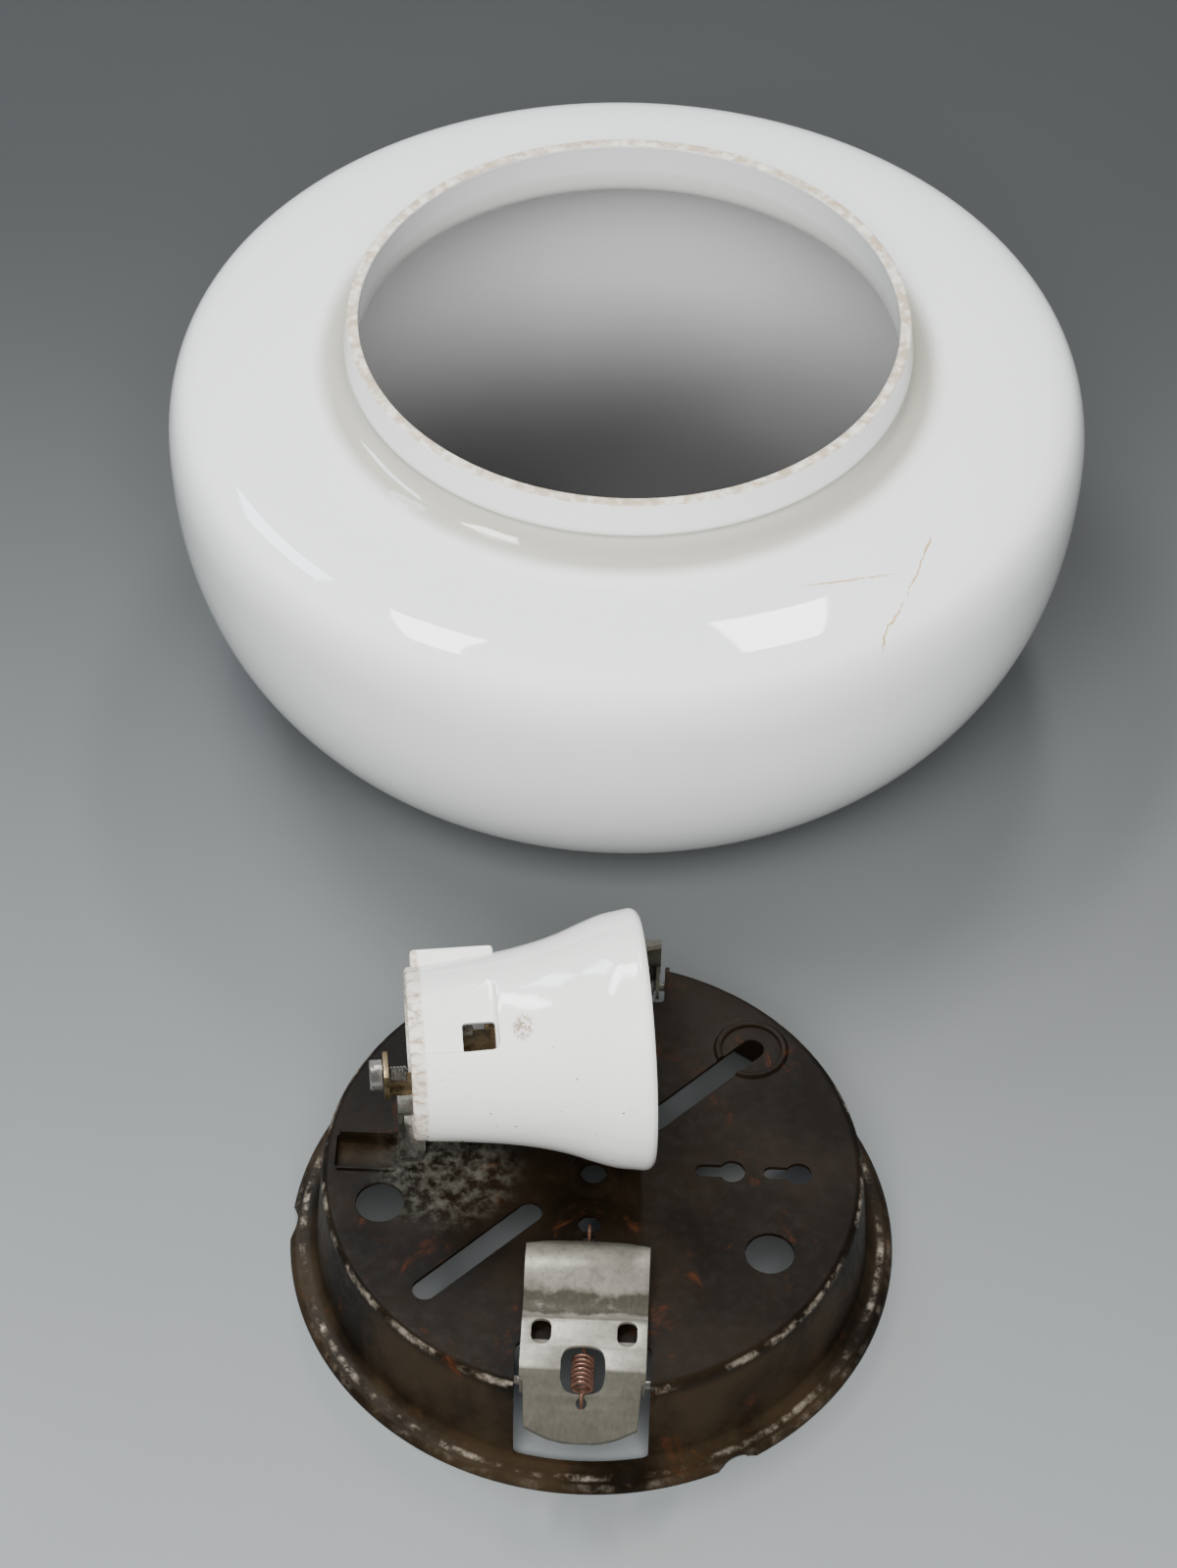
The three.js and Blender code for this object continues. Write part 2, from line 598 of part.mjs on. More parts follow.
// The tongue that presses on the lamp's centre contact, bent up from its rivet.
function centreContact() {
  const [v, z] = LIVE_RIVET;
  const face = BLOCK_U[1] + 0.5;
  const profile = smoothLine([[-3.2, 0], [0, 0], [2, 0.1], [4.6, 1.6], [8.4, 4.6], [10.4, 5], [12, 4.2]], 14);
  const tongue = strip(profile, 0.6, -2.6, 2.6);
  // The strip's "along" runs from the rivet through the axis, and its "up" runs out of the barrel.
  const towardsAxis = new THREE.Vector3(0, -v, HOLDER_AXIS_Z - z).normalize();
  const out = new THREE.Vector3(1, 0, 0);
  const side = new THREE.Vector3().crossVectors(towardsAxis, out);
  tongue.applyMatrix4(new THREE.Matrix4().makeBasis(side, towardsAxis, out))
    .translate(face + 0.3, v, z);
  return joined(tongue, [], [rod("x", face - 2, face + 3, 1.6, [v, z], 16)]);
}

function bracket() {
  const footZ = DISC_Z + FIT_GAP;
  const corner = 2.6;
  const foot = new THREE.Shape();
  foot.moveTo(-3.2, -6.4);
  foot.lineTo(3.2 - corner, -6.4);
  foot.absarc(3.2 - corner, -6.4 + corner, corner, -Math.PI / 2, 0, false);
  foot.lineTo(3.2, -0.4);
  foot.lineTo(16, -0.4);
  foot.lineTo(16, 7);
  foot.lineTo(-3.2, 7);
  foot.closePath();
  const armZ = HOLDER_AXIS_Z - 16.1;
  const right = BLOCK_U[0] - FIT_GAP;
  return joined(raised(foot, footZ, footZ + 1.5), [
    block(-3.2, -1.8, -6, 6, footZ, armZ + 1.4),
    block(-3.2, right, -6, 6, armZ, armZ + 1.4),
    block(right - 1.4, right, -4, 4, armZ, HOLDER_AXIS_Z - 8.4),
  ], [
    ...RIVET_U_V.map((at) => rod("z", footZ - 1, footZ + 3, 1.4, at, 16)),
    rod("x", right - 3, right + 1, 1.8, BRACKET_SCREW, 16),
  ]);
}

function bracketRivet([u, v]) {
  return joined(rod("z", DISC_Z - SHEET - 1, DISC_Z + 2.8, 1.1, [u, v], 14), [
    rod("z", DISC_Z - SHEET - 1.2, DISC_Z - SHEET - FIT_GAP, 2.4, [u, v], 18),
    rod("z", DISC_Z + 2.1, DISC_Z + 3.1, 2.4, [u, v], 18),
  ]);
}

function lampholder() {
  const holder = new THREE.Group();
  holder.position.set(...HOLDER_START, 0);
  holder.rotation.z = yaw;
  holder.add(piece("lampholder_body", lampholderBody(), porcelain));
  holder.add(piece("contact_block", contactBlock(), porcelain));
  holder.add(piece("screw_shell", screwShell(), brass));
  holder.add(piece("centre_contact", centreContact(), brass));
  holder.add(piece("live_terminal", liveTerminal(), brass));
  holder.add(piece("shell_terminal", shellTerminal(), brass));
  const liveScrewAt = [LIVE_RIVET[0], 60.1];
  const shellScrewAt = [SHELL_RIVET[0], SHELL_RIVET[1] - 2.4];
  holder.add(piece("live_terminal_screw", slottedScrew(liveScrewAt, -9.6, -0.6, 1.9, 3.75, 3), brightSteel));
  holder.add(piece("shell_terminal_screw", slottedScrew(shellScrewAt, 6.4, 15.5, 1.5, 2.9, 2.4), brightSteel));
  const blockFace = BLOCK_U[1];
  holder.add(piece("live_rivet", fastener(LIVE_RIVET, 18.1, blockFace + 2.3, 1, 2, 0.9, 2), brass));
  holder.add(piece("shell_rivet", fastener(SHELL_RIVET, 18.1, SHELL_U[0] + 1.8, 1, 1.9, 0.9, 2), brass));
  const screwTip = BLOCK_U[1] + 0.4;
  holder.add(piece("bracket_screw", slottedScrew(BRACKET_SCREW, 16.6, screwTip, 1.4, 2.8, 2), brightSteel));
  BODY_SCREW_ANGLES.forEach((angle, i) => {
    const screw = slottedScrew(roundAxis(BODY_SCREW_R, angle), 18.9, 32, 0.8, 1.5, 1.5);
    holder.add(piece(`body_screw_${i + 1}`, screw, brightSteel));
  });
  holder.add(piece("lampholder_bracket", bracket(), zincSteel));
  RIVET_U_V.forEach((at, i) => {
    holder.add(piece(`bracket_rivet_${i + 1}`, bracketRivet(at), brightSteel));
  });
  return holder;
}

// ---- The whole light ----

const light = new THREE.Group();

const shade = piece("glass_shade", shadeGeometry(), opalGlass);
shade.position.y = SHADE_CENTRE_Y;
light.add(shade);

const plateAssembly = new THREE.Group();
plateAssembly.position.y = PLATE_CENTRE_Y;
plateAssembly.add(piece("ceiling_plate", ceilingPlate(), brownSteel));
plateAssembly.add(clipStation("front", -1, 0));
plateAssembly.add(clipStation("back", 1, BACK_CLIP_LEAN_DEG));
plateAssembly.add(lampholder());
light.add(plateAssembly);

export default light;
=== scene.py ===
"""Looks for a ceiling light taken down and laid out: an opal glass shade, and the pressed-steel
ceiling plate with its porcelain lampholder and sprung clips. Sizes in mm are turned to metres by MM."""

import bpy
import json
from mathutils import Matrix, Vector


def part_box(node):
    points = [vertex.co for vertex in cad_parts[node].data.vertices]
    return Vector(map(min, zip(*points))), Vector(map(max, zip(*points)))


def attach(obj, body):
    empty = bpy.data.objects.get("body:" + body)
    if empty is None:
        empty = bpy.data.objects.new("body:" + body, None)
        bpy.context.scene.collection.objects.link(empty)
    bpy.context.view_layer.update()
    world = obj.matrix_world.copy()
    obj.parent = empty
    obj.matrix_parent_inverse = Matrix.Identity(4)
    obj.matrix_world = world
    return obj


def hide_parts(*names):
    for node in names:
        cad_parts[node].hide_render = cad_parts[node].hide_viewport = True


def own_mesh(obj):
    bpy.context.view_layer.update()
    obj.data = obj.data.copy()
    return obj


bl_info = {
    "name": "Vintage ceiling light",
    "version": (1, 0, 0),
    "blender": (4, 5, 0),
    "location": "View3D > Sidebar > Ceiling light",
    "description": "Models the opal shade, ceiling plate, clips and porcelain lampholder",
    "category": "Object",
}

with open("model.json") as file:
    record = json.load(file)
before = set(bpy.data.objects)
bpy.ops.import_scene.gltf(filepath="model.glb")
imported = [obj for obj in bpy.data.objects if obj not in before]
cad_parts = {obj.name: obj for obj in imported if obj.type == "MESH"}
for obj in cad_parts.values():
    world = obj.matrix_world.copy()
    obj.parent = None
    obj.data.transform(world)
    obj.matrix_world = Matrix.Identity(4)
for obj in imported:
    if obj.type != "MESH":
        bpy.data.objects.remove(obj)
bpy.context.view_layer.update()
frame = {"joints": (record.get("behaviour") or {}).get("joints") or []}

import json
import math

import bpy
from bpy.props import FloatProperty, FloatVectorProperty, IntProperty, PointerProperty
from mathutils import Matrix, Quaternion, Vector

MM = 0.001


# ---- Places taken from the frame ----


def middle(node):
    low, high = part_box(node)
    return (low + high) / 2


def joint_place(name):
    return Vector(next(j for j in frame["joints"] if j["name"] == name)["pos_m"])


SHADE_MIDDLE = middle("glass_shade")
SHADE_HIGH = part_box("glass_shade")[1]
FRONT_PIVOT = joint_place("front_clip_hinge")
BACK_PIVOT = joint_place("back_clip_hinge")
PLATE_MIDDLE = (FRONT_PIVOT + BACK_PIVOT) / 2

# The lampholder's barrel in the plate's own frame: its open end, its turn and its height, in mm.
HOLDER_START = (-44.6, 5.4)
HOLDER_YAW = math.radians(7.7)
AXIS_Z = 63
DISC_Z = 29
PIVOT_Z = FRONT_PIVOT.z / MM
PIVOT_REACH = (PLATE_MIDDLE.y - FRONT_PIVOT.y) / MM
BACK_LEAN = math.radians(54)
ANCHOR_Y = 22.5

# The bowl's outline is a quarter of a superellipse between its flat base and the shade's widest line.
BASE_R = 52
CREASE_Z = 80.3
BOWL_POWER = 0.86


# ---- Modelling by hand ----


def deselect_all():
    if bpy.context.object and bpy.context.object.mode != "OBJECT":
        bpy.ops.object.mode_set(mode="OBJECT")
    bpy.ops.object.select_all(action="DESELECT")


def select_only(obj):
    deselect_all()
    obj.select_set(True)
    bpy.context.view_layer.objects.active = obj


def named(obj, name):
    obj.name = name
    obj.data.name = name
    return obj


def apply_place(obj):
    select_only(obj)
    bpy.ops.object.transform_apply(location=True, rotation=True, scale=True)
    return obj


def apply_modifier(obj, modifier):
    select_only(obj)
    bpy.ops.object.modifier_apply(modifier=modifier.name)
    return obj


def chain(name, points):
    """A line through points in mm, drawn by extruding one vertex. It is left in edit mode."""
    deselect_all()
    bpy.ops.mesh.primitive_plane_add(size=MM)
    obj = named(bpy.context.object, name)
    bpy.ops.object.mode_set(mode="EDIT")
    bpy.ops.mesh.select_all(action="SELECT")
    bpy.ops.mesh.merge(type="CENTER")
    bpy.ops.transform.translate(value=Vector(points[0]) * MM)
    for here, there in zip(points, points[1:]):
        step = (Vector(there) - Vector(here)) * MM
        bpy.ops.mesh.extrude_region_move(TRANSFORM_OT_translate={"value": step})
    bpy.ops.mesh.select_all(action="SELECT")
    return obj


def close_up(obj):
    """Merges doubled points and turns the faces outwards, from edit mode."""
    bpy.ops.mesh.select_all(action="SELECT")
    bpy.ops.mesh.remove_doubles(threshold=0.005 * MM)
    bpy.ops.mesh.normals_make_consistent(inside=False)
    bpy.ops.object.mode_set(mode="OBJECT")
    return obj


def turned(name, outline, steps, along_x=False):
    """A solid turned from a closed outline of (radius, height) points in mm, about Z or about X."""
    if along_x:
        points = [(u, 0, r) for r, u in outline]
        axis = (1, 0, 0)
    else:
        points = [(r, 0, z) for r, z in outline]
        axis = (0, 0, 1)
    obj = chain(name, points)
    bpy.ops.mesh.spin(steps=steps, angle=math.tau, center=(0, 0, 0), axis=axis)
    return close_up(obj)


def raised(name, outline, z0, z1):
    """A flat outline of (x, y) points in mm, filled and extruded from z0 to z1."""
    obj = chain(name, [(x, y, z0) for x, y in outline])
    bpy.ops.mesh.edge_face_add()
    bpy.ops.mesh.extrude_region_move(TRANSFORM_OT_translate={"value": (0, 0, (z1 - z0) * MM)})
    return close_up(obj)


def block(name, x, y, z, round_off=0.0, segments=3):
    """A box between pairs of limits in mm, with its edges rounded off."""
    deselect_all()
    centre = [(a + b) / 2 * MM for a, b in (x, y, z)]
    bpy.ops.mesh.primitive_cube_add(size=1, location=centre)
    obj = named(bpy.context.object, name)
    obj.scale = [(b - a) * MM for a, b in (x, y, z)]
    apply_place(obj)
    return bevelled(obj, round_off, segments) if round_off else obj


def rod(name, axis, span, radius, centre=(0, 0), sides=48):
    """A cylinder along "x", "y" or "z" over a span in mm. centre gives its other two coordinates."""
    deselect_all()
    middle_at = (span[0] + span[1]) / 2
    a, b = centre
    place = {"x": (middle_at, a, b), "y": (a, middle_at, b), "z": (a, b, middle_at)}[axis]
    turn = {"x": (0, math.pi / 2, 0), "y": (math.pi / 2, 0, 0), "z": (0, 0, 0)}[axis]
    bpy.ops.mesh.primitive_cylinder_add(
        vertices=sides, radius=radius * MM, depth=(span[1] - span[0]) * MM,
        location=Vector(place) * MM, rotation=turn,
    )
    obj = named(bpy.context.object, name)
    return apply_place(obj)


def slot(name, start, end, width, z):
    """A rod whose far half is pulled along, which makes a straight slot with round ends."""
    obj = rod(name, "z", z, width / 2, start)
    run = Vector((end[0] - start[0], end[1] - start[1], 0))
    select_only(obj)
    bpy.ops.object.mode_set(mode="EDIT")
    bpy.ops.mesh.select_all(action="DESELECT")
    bpy.ops.object.mode_set(mode="OBJECT")
    middle_point = Vector((*start, 0)) * MM
    for vertex in obj.data.vertices:
        vertex.select = (vertex.co - middle_point).dot(run) > 0
    bpy.ops.object.mode_set(mode="EDIT")
    bpy.ops.transform.translate(value=run * MM)
    bpy.ops.object.mode_set(mode="OBJECT")
    return obj


def boolean(obj, other, operation):
    modifier = obj.modifiers.new("boolean", "BOOLEAN")
    modifier.operation = operation
    modifier.solver = "EXACT"
    modifier.object = other
    apply_modifier(obj, modifier)
    bpy.data.objects.remove(other)
    return obj


def cut(obj, *others):
    for other in others:
        boolean(obj, other, "DIFFERENCE")
    return obj


def join(obj, *others):
    for other in others:
        boolean(obj, other, "UNION")
    return obj


def bevelled(obj, width, segments=2, angle=35):
    modifier = obj.modifiers.new("bevel", "BEVEL")
    modifier.width = width * MM
    modifier.segments = segments
    modifier.limit_method = "ANGLE"
    modifier.angle_limit = math.radians(angle)
    return apply_modifier(obj, modifier)


def thickened(obj, thickness):
    """Makes a sheet solid, to both sides of its surface, from edit mode."""
    bpy.ops.object.mode_set(mode="OBJECT")
    modifier = obj.modifiers.new("sheet", "SOLIDIFY")
    modifier.thickness = thickness
    modifier.offset = 0
    return apply_modifier(obj, modifier)


def drill(obj, axis, span, radius, centre=(0, 0), sides=24):
    return cut(obj, rod("hole", axis, span, radius, centre, sides))


def smooth(obj, angle=32):
    select_only(obj)
    bpy.ops.object.shade_smooth_by_angle(angle=math.radians(angle))
    return obj


def place(obj, location, turn_x=0.0, turn_z=0.0):
    """Moves a piece modelled about its own origin to its place, turned about X and then about Z."""
    obj.matrix_world = (
        Matrix.Translation(location) @ Matrix.Rotation(turn_z, 4, "Z") @ Matrix.Rotation(turn_x, 4, "X")
    )
    return apply_place(obj)


def place_on_plate(obj):
    return place(obj, Vector((PLATE_MIDDLE.x, PLATE_MIDDLE.y, 0)))


def place_in_holder(obj):
    start = Vector((PLATE_MIDDLE.x, PLATE_MIDDLE.y, 0)) + Vector((*HOLDER_START, 0)) * MM
    return place(obj, start, turn_z=HOLDER_YAW)


def hand_over(obj, node, body, material, angle=32):
    """The finished piece takes the CAD node's part."""
    smooth(obj, angle)
    obj.data.materials.clear()
    obj.data.materials.append(material)
    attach(obj, body)
    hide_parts(node)
    return obj


def arc(centre, radius, start, end, steps):
    """Points on an arc from start to end degrees."""
    points = []
    for i in range(steps + 1):
        angle = math.radians(start + (end - start) * i / steps)
        points.append((centre[0] + radius * math.cos(angle), centre[1] + radius * math.sin(angle)))
    return points


def flowing(points, per_span):
    """A smooth line through a few points (Catmull-Rom)."""
    ends = [points[0], *points, points[-1]]
    line = []
    for i in range(len(points) - 1):
        p0, p1, p2, p3 = (Vector(p) for p in ends[i:i + 4])
        for k in range(per_span):
            t = k / per_span
            line.append(tuple(0.5 * (
                2 * p1 + (p2 - p0) * t + (2 * p0 - 5 * p1 + 4 * p2 - p3) * t ** 2
                + (3 * p1 - p0 - 3 * p2 + p3) * t ** 3
            )))
    return [*line, tuple(points[-1])]


def quarter(centre_r, radius, centre_z, height, power, steps):
    """A quarter of a superellipse, from its widest point to its top or bottom."""
    points = []
    for i in range(steps + 1):
        t = math.pi / 2 * i / steps
        out = math.cos(t) ** power if i < steps else 0.0
        points.append((centre_r + (radius - centre_r) * out, centre_z + height * math.sin(t) ** power))
    return points


# ---- Finishes ----


class Finish:
    """One procedural material, built node by node on Object coordinates."""

    def __init__(self, name, roughness=0.5, metallic=0.0):
        self.material = bpy.data.materials.new(name)
        self.material.use_nodes = True
        self.tree = self.material.node_tree
        self.shader = self.tree.nodes["Principled BSDF"]
        self.shader.inputs["Roughness"].default_value = roughness
        self.shader.inputs["Metallic"].default_value = metallic
        self.object_place = self.add("ShaderNodeTexCoord").outputs["Object"]

    def add(self, kind, **settings):
        node = self.tree.nodes.new(kind)
        for key, value in settings.items():
            setattr(node, key, value)
        return node

    def feed(self, socket, value):
        if isinstance(value, bpy.types.NodeSocket):
            self.tree.links.new(value, socket)
        elif socket.type == "RGBA" and len(value) == 3:
            socket.default_value = (*value, 1)
        else:
            socket.default_value = value

    def math(self, operation, a, b=0.0, clamp=False):
        node = self.add("ShaderNodeMath", operation=operation, use_clamp=clamp)
        self.feed(node.inputs[0], a)
        self.feed(node.inputs[1], b)
        return node.outputs[0]

    def times(self, a, b):
        return self.math("MULTIPLY", a, b)

    def plus(self, a, b):
        return self.math("ADD", a, b)

    def minus(self, a, b):
        return self.math("SUBTRACT", a, b)

    def larger(self, a, b):
        return self.math("MAXIMUM", a, b)

    def wander(self, size_mm, reach_mm, detail=4.0, rough=0.55):
        """A slow noise about zero, which bends a straight edge."""
        return self.times(self.minus(self.noise(size_mm, detail, rough), 0.5), reach_mm * MM)

    def seen_from(self, place_m, turn_z=0.0):
        """Object coordinates measured from a place, in a frame turned about Z."""
        shifted = self.add("ShaderNodeVectorMath", operation="SUBTRACT")
        self.feed(shifted.inputs[0], self.object_place)
        self.feed(shifted.inputs[1], place_m)
        turned_back = self.add("ShaderNodeVectorRotate", rotation_type="Z_AXIS")
        self.feed(turned_back.inputs["Vector"], shifted.outputs[0])
        turned_back.inputs["Angle"].default_value = -turn_z
        return turned_back.outputs[0]

    def parts(self, vector):
        node = self.add("ShaderNodeSeparateXYZ")
        self.feed(node.inputs[0], vector)
        return node.outputs

    def radius(self, x, y):
        return self.math("SQRT", self.plus(self.times(x, x), self.times(y, y)))

    def noise(self, size_mm, detail=4.0, rough=0.55, vector=None, stretch=(1, 1, 1), warp=0.0):
        scaled = self.add("ShaderNodeMapping")
        self.feed(scaled.inputs["Vector"], vector or self.object_place)
        scaled.inputs["Scale"].default_value = stretch
        node = self.add("ShaderNodeTexNoise")
        self.feed(node.inputs["Vector"], scaled.outputs[0])
        node.inputs["Scale"].default_value = 1 / (size_mm * MM)
        node.inputs["Detail"].default_value = detail
        node.inputs["Roughness"].default_value = rough
        node.inputs["Distortion"].default_value = warp
        return node.outputs[0]

    def ramp(self, value, low, high):
        """0 below low, 1 above high, and a smooth step between them (also for low above high)."""
        node = self.add("ShaderNodeMapRange", interpolation_type="SMOOTHSTEP")
        start, end = (0.0, 1.0) if low < high else (1.0, 0.0)
        self.feed(node.inputs["Value"], value)
        node.inputs["From Min"].default_value = min(low, high)
        node.inputs["From Max"].default_value = max(low, high)
        node.inputs["To Min"].default_value = start
        node.inputs["To Max"].default_value = end
        return node.outputs["Result"]

    def band(self, value, low, high, soft):
        inside = self.ramp(value, low - soft, low + soft)
        return self.times(inside, self.ramp(value, high + soft, high - soft))

    def ramp_mm(self, value, low, high):
        return self.ramp(value, low * MM, high * MM)

    def band_mm(self, value, low, high, soft):
        return self.band(value, low * MM, high * MM, soft * MM)

    def patches(self, low, high, *sizes, **more):
        """Cloudy patches: noise of the given sizes, cut between two levels."""
        return self.ramp(self.noise(*sizes, **more), low, high)

    def mix(self, share, a, b):
        node = self.add("ShaderNodeMix", data_type="RGBA")
        self.feed(node.inputs[0], share)
        self.feed(node.inputs[6], a)
        self.feed(node.inputs[7], b)
        return node.outputs[2]

    def over(self, under, mask, share, colour):
        """A colour laid over another where the mask is, at most by the share."""
        return self.mix(self.times(mask, share), under, colour)

    def blend(self, share, a, b):
        node = self.add("ShaderNodeMix", data_type="FLOAT")
        self.feed(node.inputs[0], share)
        self.feed(node.inputs[2], a)
        self.feed(node.inputs[3], b)
        return node.outputs[0]

    def bump(self, height, depth_mm, strength=1.0):
        node = self.add("ShaderNodeBump")
        self.feed(node.inputs["Height"], height)
        node.inputs["Distance"].default_value = depth_mm * MM
        node.inputs["Strength"].default_value = strength
        self.feed(self.shader.inputs["Normal"], node.outputs[0])

    def colour(self, value):
        self.feed(self.shader.inputs["Base Color"], value)

    def roughness(self, value):
        self.feed(self.shader.inputs["Roughness"], value)

    def metallic(self, value):
        self.feed(self.shader.inputs["Metallic"], value)


def opal_glass(colour):
    finish = Finish("opal_glass", roughness=0.05)
    x, y, z = finish.parts(finish.seen_from((SHADE_MIDDLE.x, SHADE_MIDDLE.y, 0)))[:3]
    out = finish.radius(x, y)
    rim_z = SHADE_HIGH.z
    on_rim = finish.ramp(finish.plus(z, finish.times(finish.noise(4), 0.8 * MM)),
                         rim_z, rim_z + 0.35 * MM)
    ground = finish.mix(finish.patches(0.38, 0.66, 3, 6), (0.44, 0.36, 0.26), (0.74, 0.70, 0.60))
    cloud = finish.mix(finish.noise(60, 2), colour, [c * 0.965 for c in colour])
    in_bowl = inside_of_bowl(finish, out, z)
    # Painted shade: the bowl's inner surface darkens towards the bottom, to a twentieth of the glass colour.
    painted_bowl_shade = finish.times(in_bowl, finish.ramp_mm(z, 74, 2))
    cloud = finish.mix(painted_bowl_shade, cloud, [c * 0.05 for c in colour])
    # Painted shade: a darker, warmer band along the neck's groove and the fillet below it.
    painted_groove_shade = finish.band(z, rim_z - 17 * MM, rim_z - 9.6 * MM, 1.2 * MM)
    painted_groove_shade = finish.times(painted_groove_shade, finish.band_mm(out, 73.9, 83, 3))
    cloud = finish.over(cloud, painted_groove_shade, 0.9, (0.40, 0.385, 0.31))
    specks = finish.patches(0.80, 0.83, 2.6, 2, 0.5)
    body = finish.mix(specks, cloud, (0.62, 0.54, 0.44))
    cracks = glass_cracks(finish, x, y, z)
    body = finish.mix(cracks, body, (0.50, 0.35, 0.15))
    finish.colour(finish.mix(on_rim, body, ground))
    scuffs = finish.patches(0.55, 0.75, 9, 8, 0.7, stretch=(1, 3, 1))
    gloss = finish.blend(scuffs, 0.035, 0.11)
    gloss = finish.blend(finish.times(in_bowl, finish.ramp_mm(z, 68, 60)), gloss, 0.5)
    finish.roughness(finish.blend(on_rim, gloss, 0.65))
    ripple = finish.times(finish.noise(38, 1), 0.4)
    grit = finish.times(finish.noise(1.1, 5), on_rim)
    finish.bump(finish.plus(ripple, grit), 0.25, 0.6)
    shader = finish.shader
    shader.inputs["IOR"].default_value = 1.6
    shader.inputs["Subsurface Weight"].default_value = 0.2
    shader.inputs["Subsurface Radius"].default_value = (1.0, 0.95, 0.9)
    shader.inputs["Subsurface Scale"].default_value = 2.5 * MM
    return finish.material


def inside_of_bowl(finish, out, z):
    """1 on the bowl's inner surface and 0 on its outer one, told apart at the middle of the wall."""
    base, crease, half_wall = BASE_R * MM, CREASE_Z * MM, 1.6 * MM
    middle_r = SHADE_HIGH.x - SHADE_MIDDLE.x - half_wall - base
    across = finish.math("DIVIDE", finish.larger(finish.minus(out, base), 0), middle_r)
    above = finish.larger(finish.minus(crease, z), 0)
    down = finish.math("DIVIDE", above, crease - half_wall)
    reach = finish.plus(finish.math("POWER", across, 2 / BOWL_POWER),
                        finish.math("POWER", down, 2 / BOWL_POWER))
    return finish.ramp(reach, 1.01, 0.99)


def glass_cracks(finish, x, y, z):
    """Two old hairline cracks on the front right of the shoulder, as thin wandering lines."""
    wander = finish.wander(16, 8, 5, 0.65)
    outside = finish.ramp_mm(z, 84, 88)
    lines = []
    for x_at_start, lean, y_span in (
        (102 * MM, 0.34, (-100 * MM, -65 * MM)), (356 * MM, 3.64, (-84.5 * MM, -79 * MM)),
    ):
        line_x = finish.plus(finish.times(y, lean), x_at_start)
        off = finish.math("ABSOLUTE", finish.plus(finish.minus(x, line_x), wander))
        width = 0.32 * MM * math.hypot(1, lean)
        along = finish.band(y, *y_span, 1.5 * MM)
        lines.append(finish.times(finish.ramp(off, width, width * 0.4), along))
    both = finish.larger(*lines)
    broken = finish.patches(0.3, 0.42, 7, 4, 0.7)
    return finish.times(finish.times(both, outside), broken)


def glazed_porcelain(colour):
    finish = Finish("glazed_porcelain", roughness=0.1)
    start = Vector((PLATE_MIDDLE.x, PLATE_MIDDLE.y, 0)) + Vector((*HOLDER_START, AXIS_Z)) * MM
    local = finish.seen_from(start, HOLDER_YAW)
    u, v, w = finish.parts(local)[:3]
    edge = finish.plus(u, finish.wander(5, 1.8))
    bare = finish.ramp_mm(edge, 3.9, 3.1)
    stain = finish.patches(0.4, 0.68, 1.9, 6, 0.7, vector=local, stretch=(0.5, 1, 1))
    bare_colour = finish.mix(stain, (0.70, 0.66, 0.58), (0.30, 0.22, 0.15))
    cloud = finish.mix(finish.noise(20, 3), colour, [c * 0.93 for c in colour])
    specks = finish.patches(0.71, 0.735, 2.1, 3, 0.6)
    glaze = finish.mix(specks, cloud, (0.20, 0.15, 0.10))
    glaze = finish.mix(scratch_patch(finish, u, v, w), glaze, (0.30, 0.22, 0.16))
    finish.colour(finish.mix(bare, glaze, bare_colour))
    finish.roughness(finish.blend(bare, finish.blend(finish.noise(12, 4), 0.06, 0.16), 0.8))
    orange_peel = finish.noise(6, 2)
    rough_end = finish.times(finish.noise(0.8, 6), bare)
    finish.bump(finish.plus(orange_peel, finish.times(rough_end, 0.6)), 0.16, 0.7)
    finish.shader.inputs["Coat Weight"].default_value = 0.3
    finish.shader.inputs["Coat Roughness"].default_value = 0.04
    finish.shader.inputs["Subsurface Weight"].default_value = 0.08
    finish.shader.inputs["Subsurface Scale"].default_value = 1.5 * MM
    return finish.material


def scratch_patch(finish, u, v, w):
    """Where the glaze is rubbed brown on the front of the barrel, near its recess."""
    apart = [
        finish.minus(u, 26.5 * MM),
        finish.times(finish.minus(v, -11 * MM), 0.9),
    ]
    near = finish.ramp_mm(finish.radius(*apart), 3.2, 1.4)
    facing_up = finish.ramp_mm(w, 8, 12)
    torn = finish.patches(0.44, 0.54, 1.2, 6, 0.75, stretch=(1.6, 1, 1))
    return finish.times(finish.times(near, facing_up), torn)


def plain_porcelain(colour):
    finish = Finish("plain_porcelain", roughness=0.3)
    finish.colour(finish.mix(finish.patches(0.45, 0.7, 4, 5), colour, (0.46, 0.40, 0.32)))
    finish.roughness(finish.blend(finish.noise(3), 0.25, 0.55))
    finish.bump(finish.noise(1.5, 4), 0.08, 0.6)
    return finish.material


